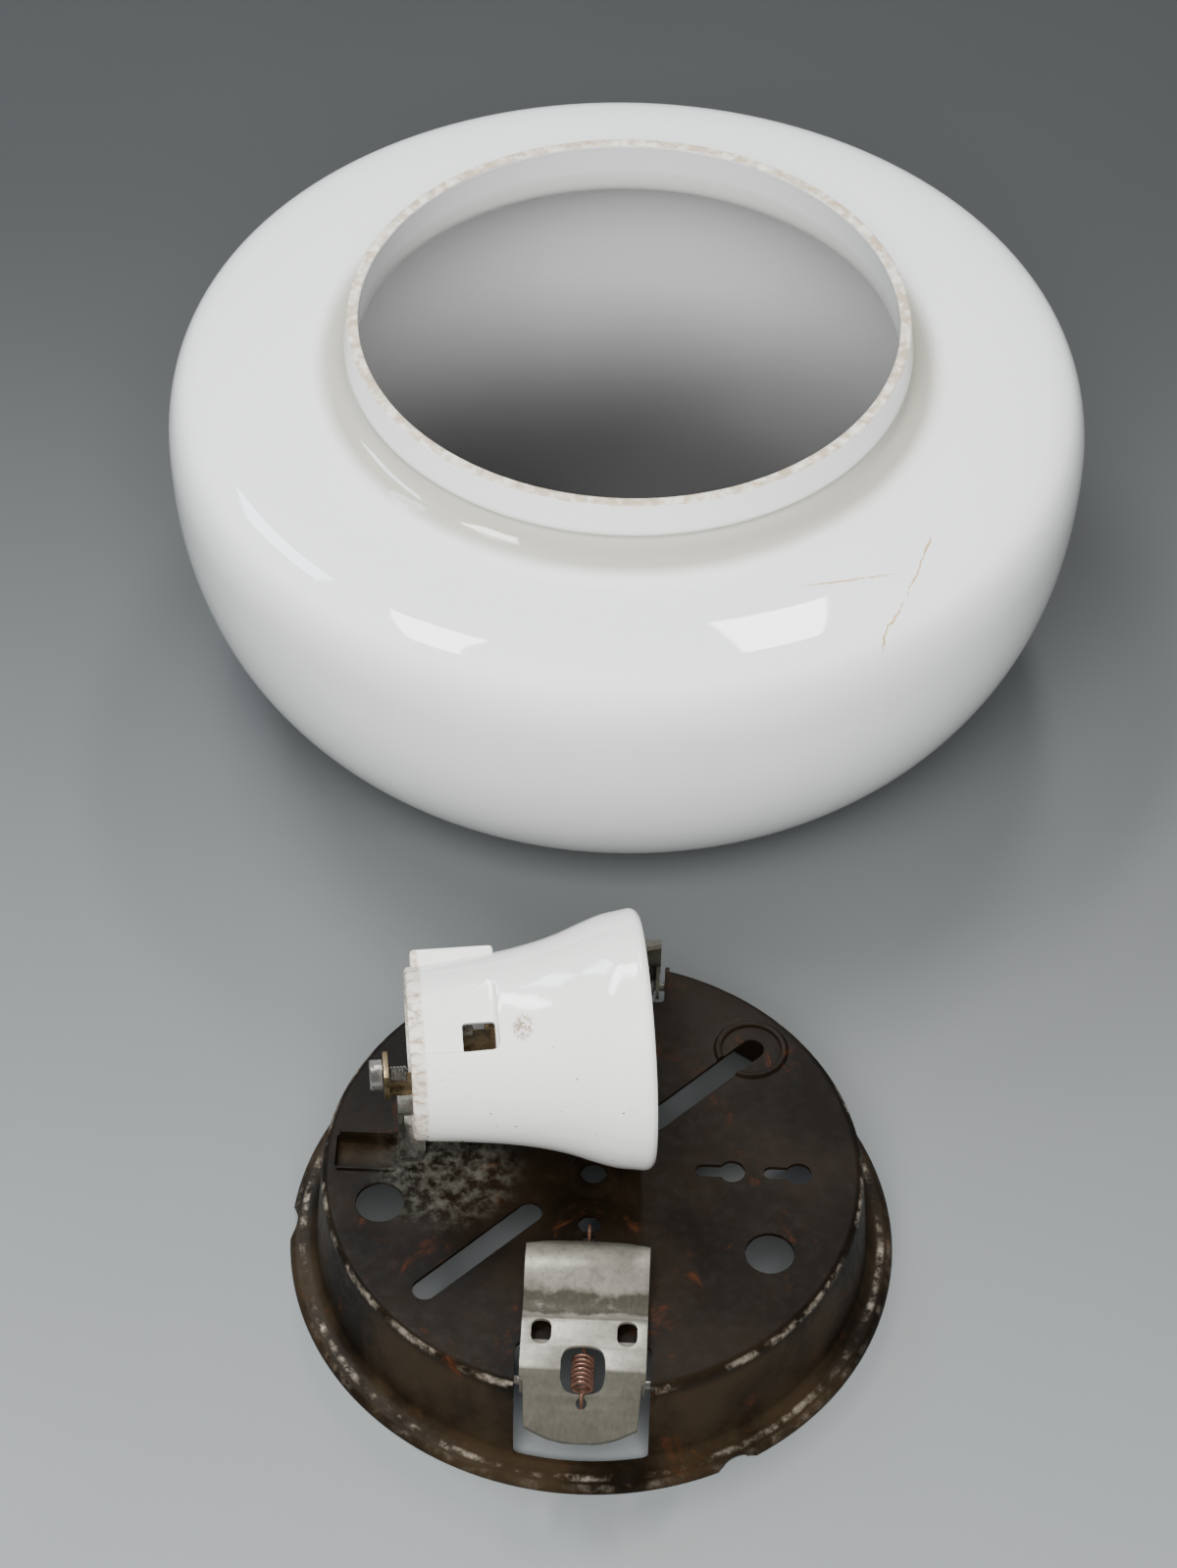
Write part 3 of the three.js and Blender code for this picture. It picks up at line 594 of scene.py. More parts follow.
def lacquered_steel(colour):
    """Dark brown lacquer over sheet steel: rubbed bright at the bends, partly a painted highlight there,
    rusty in patches, and painted shade on the disc.
    """
    finish = Finish("brown_lacquered_steel", roughness=0.4)
    x, y, z = finish.parts(finish.seen_from((PLATE_MIDDLE.x, PLATE_MIDDLE.y, 0)))[:3]
    out = finish.radius(x, y)
    large = finish.noise(34, 6, 0.6)
    fine = finish.noise(3.2, 8, 0.7)
    lacquer = finish.mix(finish.ramp(large, 0.36, 0.62), [c * 0.2 for c in colour], colour)
    # Painted shade: the disc's top is laid much darker than the wall and flange.
    painted_disc_shade = finish.ramp_mm(z, 24, 27.5)
    lacquer = finish.over(lacquer, painted_disc_shade, 0.7, (0.003, 0.0018, 0.001))
    dust = finish.times(finish.ramp(fine, 0.52, 0.8), 0.14)
    lacquer = finish.mix(dust, lacquer, (0.06, 0.042, 0.024))
    rust_spots = finish.patches(0.57, 0.72, 13, 9, 0.72, warp=0.6)
    rust_colour = finish.mix(fine, (0.030, 0.009, 0.004), (0.09, 0.028, 0.010))
    lacquer = finish.over(lacquer, rust_spots, 0.7, rust_colour)
    pocket = finish.radius(finish.plus(x, 36 * MM), finish.plus(y, 3 * MM))
    rubbed = finish.times(finish.ramp_mm(pocket, 22, 8), finish.ramp(fine, 0.4, 0.66))
    lacquer = finish.over(lacquer, rubbed, 0.5, (0.10, 0.10, 0.08))
    wear_and_highlight = bend_wear_and_highlights(finish, out, z, fine)
    bare = finish.mix(fine, (0.16, 0.12, 0.08), (0.50, 0.44, 0.36))
    finish.colour(finish.mix(wear_and_highlight, lacquer, bare))
    dull = finish.blend(finish.ramp(fine, 0.35, 0.7), 0.46, 0.62)
    dull = finish.blend(rust_spots, dull, 0.7)
    finish.roughness(finish.blend(wear_and_highlight, dull, 0.34))
    finish.metallic(finish.times(wear_and_highlight, 0.8))
    relief = finish.times(fine, 0.5)
    relief = finish.plus(relief, finish.times(rust_spots, 0.35))
    finish.bump(relief, 0.05, 0.7)
    finish.shader.inputs["Specular IOR Level"].default_value = 0.13
    return finish.material


def bend_wear_and_highlights(finish, out, z, fine):
    """Light lines along the disc's edge, the foot of the wall and the crest of the flange: rubbed wear, and
    partly a painted highlight on the flange's roll.
    """
    edge = finish.band_mm(out, 65.4, 66.3, 0.35)
    edge = finish.times(edge, finish.ramp_mm(z, 26.2, 27.6))
    # Partly painted highlight: the light lines along the flange's roll.
    foot = finish.band_mm(out, 71.2, 72.6, 0.5)
    foot = finish.times(foot, finish.band_mm(z, 1.4, 3.4, 0.8))
    rim = finish.times(finish.band_mm(out, 73.6, 74.9, 0.4), 0.18)
    patchy = finish.patches(0.44, 0.66, 11, 7, 0.68)
    all_bends = finish.larger(finish.larger(edge, foot), rim)
    grain = finish.ramp(fine, 0.38, 0.66)
    return finish.times(all_bends, finish.times(patchy, grain))


def zinc_plate(colour):
    """Dull zinc, mottled all over, with a dark stain in the front clip's valley, and painted shade over the
    front clip's lower leaf and all of the back clip.
    """
    finish = Finish("dull_zinc_plate", roughness=0.42, metallic=0.6)
    y = finish.parts(finish.seen_from(tuple(FRONT_PIVOT)))[1]
    fine = finish.noise(0.9, 5, 0.6, stretch=(1, 0.3, 1))
    clean = finish.mix(finish.patches(0.35, 0.65, 7, 7, 0.65), colour, [c * 0.7 for c in colour])
    mottle = finish.patches(0.46, 0.7, 1.6, 8, 0.75)
    clean = finish.over(clean, mottle, 0.5, [c * 0.3 for c in colour])
    in_valley = finish.band_mm(finish.plus(y, finish.wander(6, 5)), 15.5, 21, 0.9)
    patches = finish.patches(0.24, 0.46, 4, 9, 0.72, stretch=(0.5, 1.2, 1), warp=0.5)
    # Painted shade: the front clip's lower leaf and the whole back clip are laid in the dark tarnish colour.
    on_lower_leaf = finish.ramp_mm(y, 0.5, -0.5)
    stain_and_shade = finish.times(in_valley, patches)
    on_back_clip = finish.ramp_mm(y, 70, 80)
    painted_clip_shade = finish.times(finish.larger(on_lower_leaf, on_back_clip), 0.9)
    stain_and_shade = finish.larger(stain_and_shade, painted_clip_shade)
    tarnish = finish.mix(fine, (0.014, 0.013, 0.010), (0.075, 0.068, 0.048))
    finish.colour(finish.mix(finish.times(stain_and_shade, 0.97), clean, tarnish))
    finish.roughness(finish.blend(stain_and_shade, finish.blend(fine, 0.32, 0.5), 0.62))
    finish.metallic(finish.blend(stain_and_shade, 0.6, 0.3))
    finish.bump(finish.plus(fine, stain_and_shade), 0.05, 0.6)
    return finish.material


def bare_metal(name, colour, tarnish, size_mm=4.0):
    """A metal that has gone dull in patches."""
    finish = Finish(name, roughness=0.3, metallic=0.9)
    patch = finish.patches(0.45, 0.66, size_mm, 7, 0.65)
    fine = finish.noise(0.7, 5)
    finish.colour(finish.mix(patch, colour, tarnish))
    finish.roughness(finish.blend(patch, finish.blend(fine, 0.2, 0.36), 0.6))
    finish.metallic(finish.blend(patch, 0.95, 0.55))
    finish.bump(finish.plus(fine, patch), 0.04, 0.6)
    return finish.material


def floor_finish(colour):
    """A plain bench top, with painted shade that darkens it towards the back."""
    finish = Finish("bench_top", roughness=0.5)
    y = finish.parts(finish.object_place)[1]
    # Painted shade: the floor falls to about a sixth of its colour towards the back.
    finish.colour(finish.mix(finish.ramp(y, -0.5, 0.3), colour, [c * 0.17 for c in colour]))
    finish.roughness(finish.blend(finish.noise(90, 3), 0.45, 0.6))
    return finish.material


# ---- Settings that a user would change ----


def length_of(name, description, mm):
    return FloatProperty(name=name, description=description, default=mm * MM, unit="LENGTH")


def steps_round(what, count):
    return IntProperty(name="Steps", description=f"Steps round the {what}", default=count, min=24)


def colour_of(name, what, default):
    return FloatVectorProperty(
        name=name, description=f"Colour of the {what}", subtype="COLOR", default=default,
    )


class ShadeSettings(bpy.types.PropertyGroup):
    wall: length_of("Wall", "Thickness of the glass", 3.2)
    steps: steps_round("glass", 144)
    colour: colour_of("Glass", "opal glass", (0.79, 0.795, 0.785))


class PlateSettings(bpy.types.PropertyGroup):
    steps: steps_round("plate", 160)
    colour: colour_of("Lacquer", "lacquer", (0.022, 0.0145, 0.0075))


class ClipSettings(bpy.types.PropertyGroup):
    sheet: length_of("Sheet", "Thickness of the clips", 0.9)
    turns: IntProperty(name="Turns", description="Turns of each spring", default=7, min=2)
    colour: colour_of("Zinc", "zinc plating", (0.31, 0.295, 0.245))


class HolderSettings(bpy.types.PropertyGroup):
    length: length_of("Length", "Length of the barrel", 56.5)
    steps: steps_round("barrel", 112)
    colour: colour_of("Glaze", "porcelain", (0.80, 0.79, 0.75))


class StageSettings(bpy.types.PropertyGroup):
    lens: FloatProperty(name="Lens", description="Focal length in mm", default=86.5, min=10)
    floor: colour_of("Floor", "floor", (0.235, 0.25, 0.25))


# ---- Glass shade ----


class LIGHT_OT_glass_shade(bpy.types.Operator):
    """Turn the opal shade: ground rim, neck with its groove, shoulder and bowl"""

    bl_idname = "ceiling_light.glass_shade"
    bl_label = "Glass shade"

    def execute(self, context):
        settings = context.scene.shade_settings
        wall = settings.wall / MM
        rim, shoulder, widest = 118, 102.2, 124.45
        lip_outside = arc((74.5, rim - 0.5), 0.5, 90, 0, 3)
        neck = flowing([
            (75.1, rim - 1.5), (75.6, rim - 5), (76.1, rim - 8.2), (75.9, rim - 9.6), (75.1, rim - 10.7),
            (74.9, rim - 11.7), (75.2, rim - 12.9), (76.2, rim - 14.3), (78, rim - 15.3), (80, rim - 15.7),
        ], 3)
        up_shoulder = flowing([
            (80, shoulder), (88, 102), (96, 101.7), (104, 101.2), (111, 100.3), (116, 99), (119.8, 96.7),
            (122.2, 93.2), (123.6, 88.8), (124.25, 84.5), (widest, CREASE_Z),
        ], 4)[1:]
        bowl = quarter(BASE_R, widest, CREASE_Z, 0.1 - CREASE_Z, BOWL_POWER, 30)[1:]
        outside = [*lip_outside, *neck, *up_shoulder, *bowl, (0, 0.1)]
        in_bowl = quarter(BASE_R, widest - wall, CREASE_Z, wall + 0.4 - CREASE_Z, BOWL_POWER, 26)[::-1]
        in_shoulder = quarter(80, widest - wall, CREASE_Z, shoulder - wall - CREASE_Z, 0.5, 22)[1:]
        in_neck = flowing([(77, shoulder - wall + 0.2), (74.4, 100.6), (73.2, 104), (72.7, 110),
                           (72.1, rim - 1)], 3)
        lip_inside = arc((72.5, rim - 0.5), 0.5, 180, 90, 3)
        inside = [(0, wall + 0.4), *in_bowl, *in_shoulder, *in_neck, *lip_inside]
        shade = turned("opal_shade", [*inside, *outside], settings.steps)
        place(shade, Vector((SHADE_MIDDLE.x, SHADE_MIDDLE.y, 0)))
        glass = opal_glass(settings.colour)
        hand_over(shade, "glass_shade", "glass_shade", glass, angle=60)
        return {"FINISHED"}


# ---- Ceiling plate ----


def plate_outline():
    """The plate's section: disc, rounded edge, sloping wall and rolled flange."""
    outside = [
        (0, DISC_Z), *arc((64, 26.8), 2.2, 90, 5, 6), *arc((71.0, 5.0), 2.7, 185, 268, 7),
        *arc((72.9, 0.1), 2.1, 92, 3, 8), (75, 0),
    ]
    underside = [
        (73.9, 0), *arc((72.9, 0.1), 1.1, 3, 92, 5), *arc((71.0, 5.0), 3.7, 268, 185, 7),
        *arc((64, 26.8), 1.2, 5, 90, 5), (0, DISC_Z - 1),
    ]
    return [*outside, *underside]


class LIGHT_OT_ceiling_plate(bpy.types.Operator):
    """Press the ceiling plate: turn it, then punch its slots, holes and clip windows"""

    bl_idname = "ceiling_light.ceiling_plate"
    bl_label = "Ceiling plate"

    def execute(self, context):
        settings = context.scene.plate_settings
        plate = turned("pressed_ceiling_plate", plate_outline(), settings.steps)
        self.press(plate)
        self.punch(plate)
        place_on_plate(plate)
        steel = lacquered_steel(settings.colour)
        hand_over(plate, "ceiling_plate", "ceiling_plate", steel, angle=28)
        return {"FINISHED"}

    def press(self, plate):
        """Raised rings, the pocket by the lampholder and the clips' lugs."""
        join(plate, block("pocket", (-64, -47.2), (-4.2, 7.7), (24, DISC_Z - 0.5), 0.8))
        cut(plate, block("pocket_inside", (-63, -48.2), (-3.2, 6.7), (25, DISC_Z + 4), 0.9))
        lip_z = (DISC_Z - 0.5, DISC_Z + 0.7)
        for y in (-4.2, 6.9):
            join(plate, block("pocket_lip", (-62.5, -48.4), (y, y + 0.8), lip_z, 0.2))
        for x, y, inner, outer, height in ((0.3, -2.4, 3.3, 7.2, 1.4), (38.2, 38.2, 7.4, 9.4, 0.8)):
            width = outer - inner
            section = [(inner, DISC_Z - 0.4), (outer, DISC_Z - 0.4), (outer, DISC_Z + 0.05), *flowing([
                (outer - width * 0.12, DISC_Z + height * 0.35), (outer - width * 0.3, DISC_Z + height * 0.9),
                (outer - width * 0.5, DISC_Z + height), (inner + width * 0.15, DISC_Z + height * 0.85),
            ], 3), (inner, DISC_Z + height * 0.5), (inner, DISC_Z - 0.4)]
            ring = turned("pressed_ring", section, 48)
            ring.location = Vector((x, y, 0)) * MM
            join(plate, apply_place(ring))
        for side in (-1, 1):
            for x in (-1, 1):
                x_span = sorted((x * 16, x * 17.1))
                y_span = sorted((side * 57.5, side * 64.6))
                join(plate, block("lug", x_span, y_span, (22.6, DISC_Z - 0.4), 0.3))

    def punch(self, plate):
        through = (DISC_Z - 3, DISC_Z + 4)
        cut(plate, rod("eyelet", "z", through, 3.3, (0.3, -2.4)))
        half_turn = math.sqrt(0.5)
        for way in (-1, 1):
            near, far = (way * half_turn * r for r in (20.8, 54.2))
            cut(plate, slot("fixing_slot", (near, near), (far, far), 6.2, through))
        for narrow_start, ball in ((25.1, 34), (41.7, 50.2)):
            cut(plate, slot("keyhole", (narrow_start + 1.8, 0), (ball, 0), 3.6, through))
            cut(plate, rod("keyhole_end", "z", through, 3.2, (ball, 0)))
        for centre in ((-51, -13.4), (43.4, -24)):
            cut(plate, rod("wire_hole", "z", through, 5.9, centre, 64))
        for side in (-1, 1):
            y_span = sorted((side * 52.5, side * 80))
            cut(plate, block("clip_window", (-16, 16), y_span, (3.2, DISC_Z + 4), 1.0))
            anchor = side * ANCHOR_Y
            cut(plate, block("anchor_hole", (-1.5, 1.5), (anchor - 1.5, anchor + 1.5), through))
            cut(plate, slot("anchor_oval", (-0.3, side * 17.5), (0.3, side * 17.5), 5, through))
            for x in (-1, 1):
                x_span = sorted((x * 15, x * 17.6))
                drill(plate, "x", x_span, 1.25, (side * PIVOT_REACH, PIVOT_Z))
        for degrees in (180, 60, -60):
            angle = math.radians(degrees)
            centre = (83.4 * math.cos(angle), 83.4 * math.sin(angle))
            cut(plate, rod("edge_dent", "z", (-2, 6), 10, centre, 96))


# ---- Clips and springs ----

UPPER_LEAF = [
    (0.4, 4.9), (3, 5.3), (8, 5.7), (12.4, 6), (14.6, 5.1), (17.4, 4.6), (20, 5.6),
    (23, 7.6), (27, 9.1), (31, 8.9), (34, 7.3), (35.6, 5.9),
]
LOWER_LEAF = [(-15.4, -2.6), (-8, 1), (-1.4, 4.2)]
HOOK = (-7.5, 1.1)


def clip_piece(name, sheet):
    """One clip about its pivot, with its upper leaf towards +Y."""
    line = [*flowing(LOWER_LEAF, 6), *flowing(UPPER_LEAF, 5)]
    clip = chain(name, [(-14.8, y, z) for y, z in line])
    bpy.ops.mesh.extrude_region_move(TRANSFORM_OT_translate={"value": (29.6 * MM, 0, 0)})
    thickened(clip, sheet)
    tip = flowing([(15.8, 33), (8, 35.3), (0, 35.9), (-8, 35.3), (-15.8, 33)], 6)
    foot = flowing([(-13.2, -12.2), (-7, -14.6), (0, -15.4), (7, -14.6), (13.2, -12.2)], 6)
    plan = [(-15.8, -1.6), (-13.9, -2.2), *foot, (13.9, -2.2), (15.8, -1.6), *tip]
    boolean(clip, raised("clip_plan", plan, -10, 20), "INTERSECT")
    for x in (-14.2, 14.2):
        ear = [*arc((0, 0), 3.2, 180, 360, 14), (3.6, 5.1), (-2.6, 4)]
        cheek = raised("ear", ear, -0.45, 0.45)
        cheek.matrix_world = Matrix.Translation((x * MM, 0, 0)) @ Matrix(
            ((0, 0, 1, 0), (1, 0, 0, 0), (0, 1, 0, 0), (0, 0, 0, 1)))
        join(clip, apply_place(cheek))
        drill(clip, "x", (x - 1.2, x + 1.2), 1.25, (0, 0))
    for x in (-10.1, 10.1):
        cut(clip, slot("lance", (x, 8.6), (x, 10.8), 4.8, (2, 9)))
        tongue = block("tongue", (-2, 2), (-2.7, 2.7), (-0.4, 0.4), 0.25)
        join(clip, place(tongue, Vector((x, 6, 4.7)) * MM, turn_x=-0.28))
    hole = flowing([(-5.2, -2), (-3.9, -4.6), (0, -5.4), (3.9, -4.6), (5.2, -2), (5.2, 2.4), (3.9, 5.3),
                    (0, 6.15), (-3.9, 5.3), (-5.2, 2.4)], 4)
    cut(clip, raised("spring_hole", hole, -4, 9))
    drill(clip, "z", (-3, 5), 1.3, (0, HOOK[0] + 0.3))
    return bevelled(clip, 0.14, 2, 40)


def spring_points(lean, turns):
    """The spring's line in its clip's frame, from its hook on the lower leaf to the plate's anchor."""
    def turn(point):
        a, b = point
        return Vector((0, a * math.cos(lean) - b * math.sin(lean), a * math.sin(lean) + b * math.cos(lean)))

    anchor = Vector((0, PIVOT_REACH - ANCHOR_Y, DISC_Z - 2.3 - PIVOT_Z))
    start = turn((HOOK[0] + 3.3, HOOK[1] + 0.9))
    along = anchor - start
    reach = along.length
    along.normalize()
    across = Vector((1, 0, 0))
    up = across.cross(along)
    hook_line = ((-0.4, -2.2), (0, -1.2), (0, 0.4), (0.3, 1.9), (1.5, 2.5))
    points = [turn((HOOK[0] + a, HOOK[1] + b)) for a, b in hook_line]
    points.append(start + across * 1.2 + along * 0.1)
    per_turn, coil_length, coil_r = 16, 8.8, 2.4
    for i in range(turns * per_turn + 1):
        angle = math.tau * i / per_turn
        forward = along * (0.9 + coil_length * i / (turns * per_turn))
        points.append(start + forward + across * coil_r * math.cos(angle) + up * coil_r * math.sin(angle))
    points += [start + along * (coil_length + 1.6) + across * 0.9, start + along * (coil_length + 3.0)]
    points += [start + along * (reach * share) for share in (0.5, 0.7, 0.9, 0.97)]
    rise = 2.3
    points += [Vector((0, anchor.y + dy, anchor.z + dz)) for dy, dz in (
        (0.2, 0.5), (0.4, rise), (1.2, rise + 1.1), (2.4, rise + 1.35), (3.6, rise + 1), (4.6, rise - 0.1),
        (4.9, rise - 1.2))]
    return [tuple(p) for p in points]


def spring_piece(name, lean, turns):
    """A round wire along the spring's line."""
    wire = chain(name, spring_points(lean, turns))
    bpy.ops.object.mode_set(mode="OBJECT")
    select_only(wire)
    bpy.ops.object.convert(target="CURVE")
    wire.data.bevel_depth = 0.43 * MM
    wire.data.bevel_resolution = 3
    wire.data.use_fill_caps = True
    bpy.ops.object.convert(target="MESH")
    return wire


def pivot_pin(name, side):
    """A short pin with a rolled head at each end."""
    section = [
        (0, 12.5), (1.6, 12.5), (2, 12.8), (2, 13.1), (1.7, 13.35), (1.1, 13.4),
        (1.1, 17.6), (1.6, 17.6), (1.8, 17.8), (1.8, 18.1), (1.4, 18.4), (0, 18.4),
    ]
    return turned(name, [(r, side * u) for r, u in section], 32, along_x=True)


class LIGHT_OT_clips(bpy.types.Operator):
    """Bend the two clips, wind their springs and rivet their pivots"""

    bl_idname = "ceiling_light.clips"
    bl_label = "Clips and springs"

    def execute(self, context):
        settings = context.scene.clip_settings
        zinc = zinc_plate(settings.colour)
        copper = bare_metal("copper_washed_wire", (0.38, 0.20, 0.14), (0.10, 0.05, 0.035), 3)
        steel = bare_metal("pin_steel", (0.45, 0.42, 0.38), (0.14, 0.11, 0.08), 2)
        for side, pivot, lean, turn_z in (
            ("front", FRONT_PIVOT, 0.0, 0.0), ("back", BACK_PIVOT, BACK_LEAN, math.pi),
        ):
            clip = clip_piece(f"{side}_sprung_clip", settings.sheet)
            place(clip, pivot, lean, turn_z)
            hand_over(clip, f"{side}_clip", f"{side}_clip", zinc, 40)
            spring = spring_piece(f"{side}_hook_spring", lean, settings.turns)
            place(spring, pivot, 0, turn_z)
            hand_over(spring, f"{side}_clip_spring", "ceiling_plate", copper, 60)
            self.shorten(spring, side, pivot)
            for letter, x in (("a", -1), ("b", 1)):
                pin = pivot_pin(f"{side}_pin_{letter}", x)
                place(pin, pivot, 0, turn_z)
                hand_over(pin, f"{side}_pivot_{letter}", "ceiling_plate", steel, 40)
        return {"FINISHED"}

    def shorten(self, spring, side, pivot):
        """Gives the spring a mesh of its own."""
        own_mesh(spring)


# ---- Lampholder ----

BODY_SCREW_R = 15.6
BODY_SCREW_ANGLES = (25, 205)
LIVE_RIVET = (-3.5, 60)
SHELL_RIVET = (-1, AXIS_Z + 10.9)
BRACKET_SCREW = (0, AXIS_Z - 11.6)
RIVET_PLACES = ((7, 3.4), (13, 3.4))
MOVING_PIECES = ("centre_contact", "live_terminal_screw", "shell_terminal_screw")


def round_axis(radius, degrees):
    angle = math.radians(degrees)
    return (radius * math.cos(angle), AXIS_Z + radius * math.sin(angle))


def on_barrel(obj, centre=(0, AXIS_Z)):
    """Moves a piece turned about X to a centre of (across, height) in the lampholder."""
    obj.location = Vector((0, *centre)) * MM
    return apply_place(obj)


def facing(obj, degrees):
    """Turns a piece drawn facing -Y round the barrel's axis."""
    return place(obj, Vector((0, 0, AXIS_Z)) * MM, turn_x=-math.radians(degrees))


def barrel_piece(steps, length):
    outside = [
        (20.3, 0.2), (20.7, 0.7), (20.9, 3.4),
        *flowing([(21.1, 3.7), (21.8, 12), (23, 22), (24.5, 30), (26.3, 36.5), (28.6, 42.5), (30.3, 47.5),
                  (31.1, 52)], 5),
        *flowing([(31.3, 53.2), (31.45, 54.4), (31.2, 55.6), (30.4, length)], 3),
    ]
    inside = [
        *flowing([(29.3, length), (28.4, 55.9), (27.9, 54), (27.4, 52), (25.6, 47), (22.6, 42), (19.2, 37.6),
                  (16.6, 34.4), (15.3, 32.6)], 4),
        (15.2, 32), (15.2, 27.3), (17.6, 27.3), (17.6, 0.6), (18, 0), (20.0, 0), (20.3, 0.2),
    ]
    barrel = on_barrel(turned("porcelain_barrel", [*outside, *inside], steps, along_x=True))
    join(barrel, facing(block("pad", (1.6, 21.5), (-24.4, -19.5), (-5, 5), 1.0), 146))
    cut(barrel, facing(block("recess", (-8, 21), (-44, -19.3), (-5.6, 15), 1.6), 65))
    cut(barrel, facing(block("wire_hole", (12.4, 20.2), (-34, -12), (-5.6, 1.8), 0.9), 65))
    for angle in BODY_SCREW_ANGLES:
        drill(barrel, "x", (26, 33), 1.2, round_axis(BODY_SCREW_R, angle), 16)
    return bevelled(barrel, 0.4, 3, 40)


def block_piece():
    """The porcelain disc that carries the contacts."""
    section = [(0, 20.8), *arc((16.5, 21.4), 0.6, -90, 0, 3), *arc((16.5, 26.4), 0.6, 0, 90, 3), (0, 27)]
    disc = on_barrel(turned("porcelain_contact_block", section, 64, along_x=True))
    for centre, radius in ((LIVE_RIVET, 1.4), (SHELL_RIVET, 1.4), (BRACKET_SCREW, 1.8)):
        drill(disc, "x", (18, 30), radius, centre)
    for angle in BODY_SCREW_ANGLES:
        drill(disc, "x", (18, 30), 1.2, round_axis(BODY_SCREW_R, angle), 16)
    return disc


def shell_piece():
    """The threaded sleeve: plain waves with the thread's pitch, and a base flange turned in."""
    start, pitch = 27.9, 3.63
    waves = [start + 1.5 + i * pitch / 8 for i in range(46)]
    outer = [(13.5 + 0.45 * math.cos((u - waves[0]) * math.tau / pitch), u) for u in waves]
    inner = [(r - 0.45, u) for r, u in reversed(outer)]
    section = [
        (8.6, start + 0.5), (8.6, start), (13.6, start), *outer,
        *inner, (13, start + 0.5), (8.6, start + 0.5),
    ]
    shell = on_barrel(turned("threaded_shell", section, 72, along_x=True))
    return drill(shell, "x", (start - 1, start + 1.2), 1.4, SHELL_RIVET)


def contact_piece():
    """The springy tongue under the lamp, bent up from its rivet."""
    v, z = LIVE_RIVET
    line = flowing([(-3.2, 0), (0, 0), (2, 0.1), (4.6, 1.6), (8.4, 4.6), (10.4, 5), (12, 4.2)], 4)
    tongue = chain("centre_tongue", [(-2.6, y, up) for y, up in line])
    bpy.ops.mesh.extrude_region_move(TRANSFORM_OT_translate={"value": (5.2 * MM, 0, 0)})
    thickened(tongue, 0.6 * MM)
    drill(tongue, "z", (-3, 3), 1.6, (0, 0))
    bevelled(tongue, 0.1, 2, 40)
    to_axis = Vector((0, -v, AXIS_Z - z)).normalized()
    out = Vector((1, 0, 0))
    side = to_axis.cross(out)
    turn = Matrix((side, to_axis, out)).transposed().to_4x4()
    tongue.matrix_world = Matrix.Translation(Vector((27.8, v, z)) * MM) @ turn
    return apply_place(tongue)


def rivet_piece(name, centre, span, head_r=2.0, shank_r=1.0):
    """A rivet along the barrel with a domed head at each end."""
    low, high = span
    section = [
        (0, low), *arc((head_r - 0.5, low + 0.5), 0.5, -90, 0, 3),
        (head_r, low + 0.9), (shank_r, low + 0.9), (shank_r, high - 0.9), (head_r, high - 0.9),
        *arc((head_r - 0.5, high - 0.5), 0.5, 0, 90, 3), (0, high),
    ]
    return on_barrel(turned(name, section, 32, along_x=True), centre)


def screw_piece(name, centre, head, tip, shank_r, head_r, head_thick):
    """A cheese-head screw with a slot across it. Its shank has the ridges of a thread."""
    pitch = max(0.5, shank_r * 0.4)
    count = int((tip - head - head_thick - 0.6) / pitch)
    ridges = []
    for i in range(count):
        at = head + head_thick + 0.2 + i * pitch
        ridges += [(shank_r * 0.86, at), (shank_r, at + pitch / 2)]
    section = [
        (0, head), *arc((head_r - 0.4, head + 0.4), 0.4, -90, 0, 4), (head_r, head + head_thick),
        *ridges, (shank_r * 0.86, tip - 0.3), (shank_r * 0.6, tip), (0, tip),
    ]
    screw = on_barrel(turned(name, section, 48, along_x=True), centre)
    v, z = centre
    groove = block("groove", (head - 1, head + 0.9), (v - head_r - 1, v + head_r + 1), (z - 0.5, z + 0.5))
    return cut(screw, groove)


def live_strap():
    """The live terminal: a strap out of the barrel's end, with an upright for its screw."""
    v, foot = LIVE_RIVET[0], 55.5
    strap = block("live_strap", (-6.3, 20.5), (v - 3, v + 3), (foot, foot + 1.2))
    join(strap, block("upright", (-6.3, -5.1), (v - 4, v + 4), (foot, foot + 8.4)))
    join(strap, block("tail", (19.3, 20.5), (v - 3, v + 3), (foot, foot + 7.4)))
    drill(strap, "x", (-8, -3), 2.3, (v, foot + 4.6), 32)
    drill(strap, "x", (17.8, 21.8), 1.4, LIVE_RIVET)
    return bevelled(strap, 0.25, 3, 40)


def shell_strap():
    """The second terminal, inside the barrel."""
    v, z = SHELL_RIVET
    strap = block("shell_strap", (19.3, 20.5), (v - 3.5, v + 3.5), (z - 7.6, z + 2.6))
    join(strap, block("shelf", (10, 20.5), (v - 3.5, v + 3.5), (z - 7.6, z - 6.4)))
    join(strap, block("upright", (10, 11.2), (v - 3.5, v + 3.5), (z - 7.6, z + 1)))
    drill(strap, "x", (8, 13), 1.9, (v, z - 2.4), 32)
    drill(strap, "x", (17.8, 21.8), 1.4, SHELL_RIVET)
    return bevelled(strap, 0.25, 3, 40)


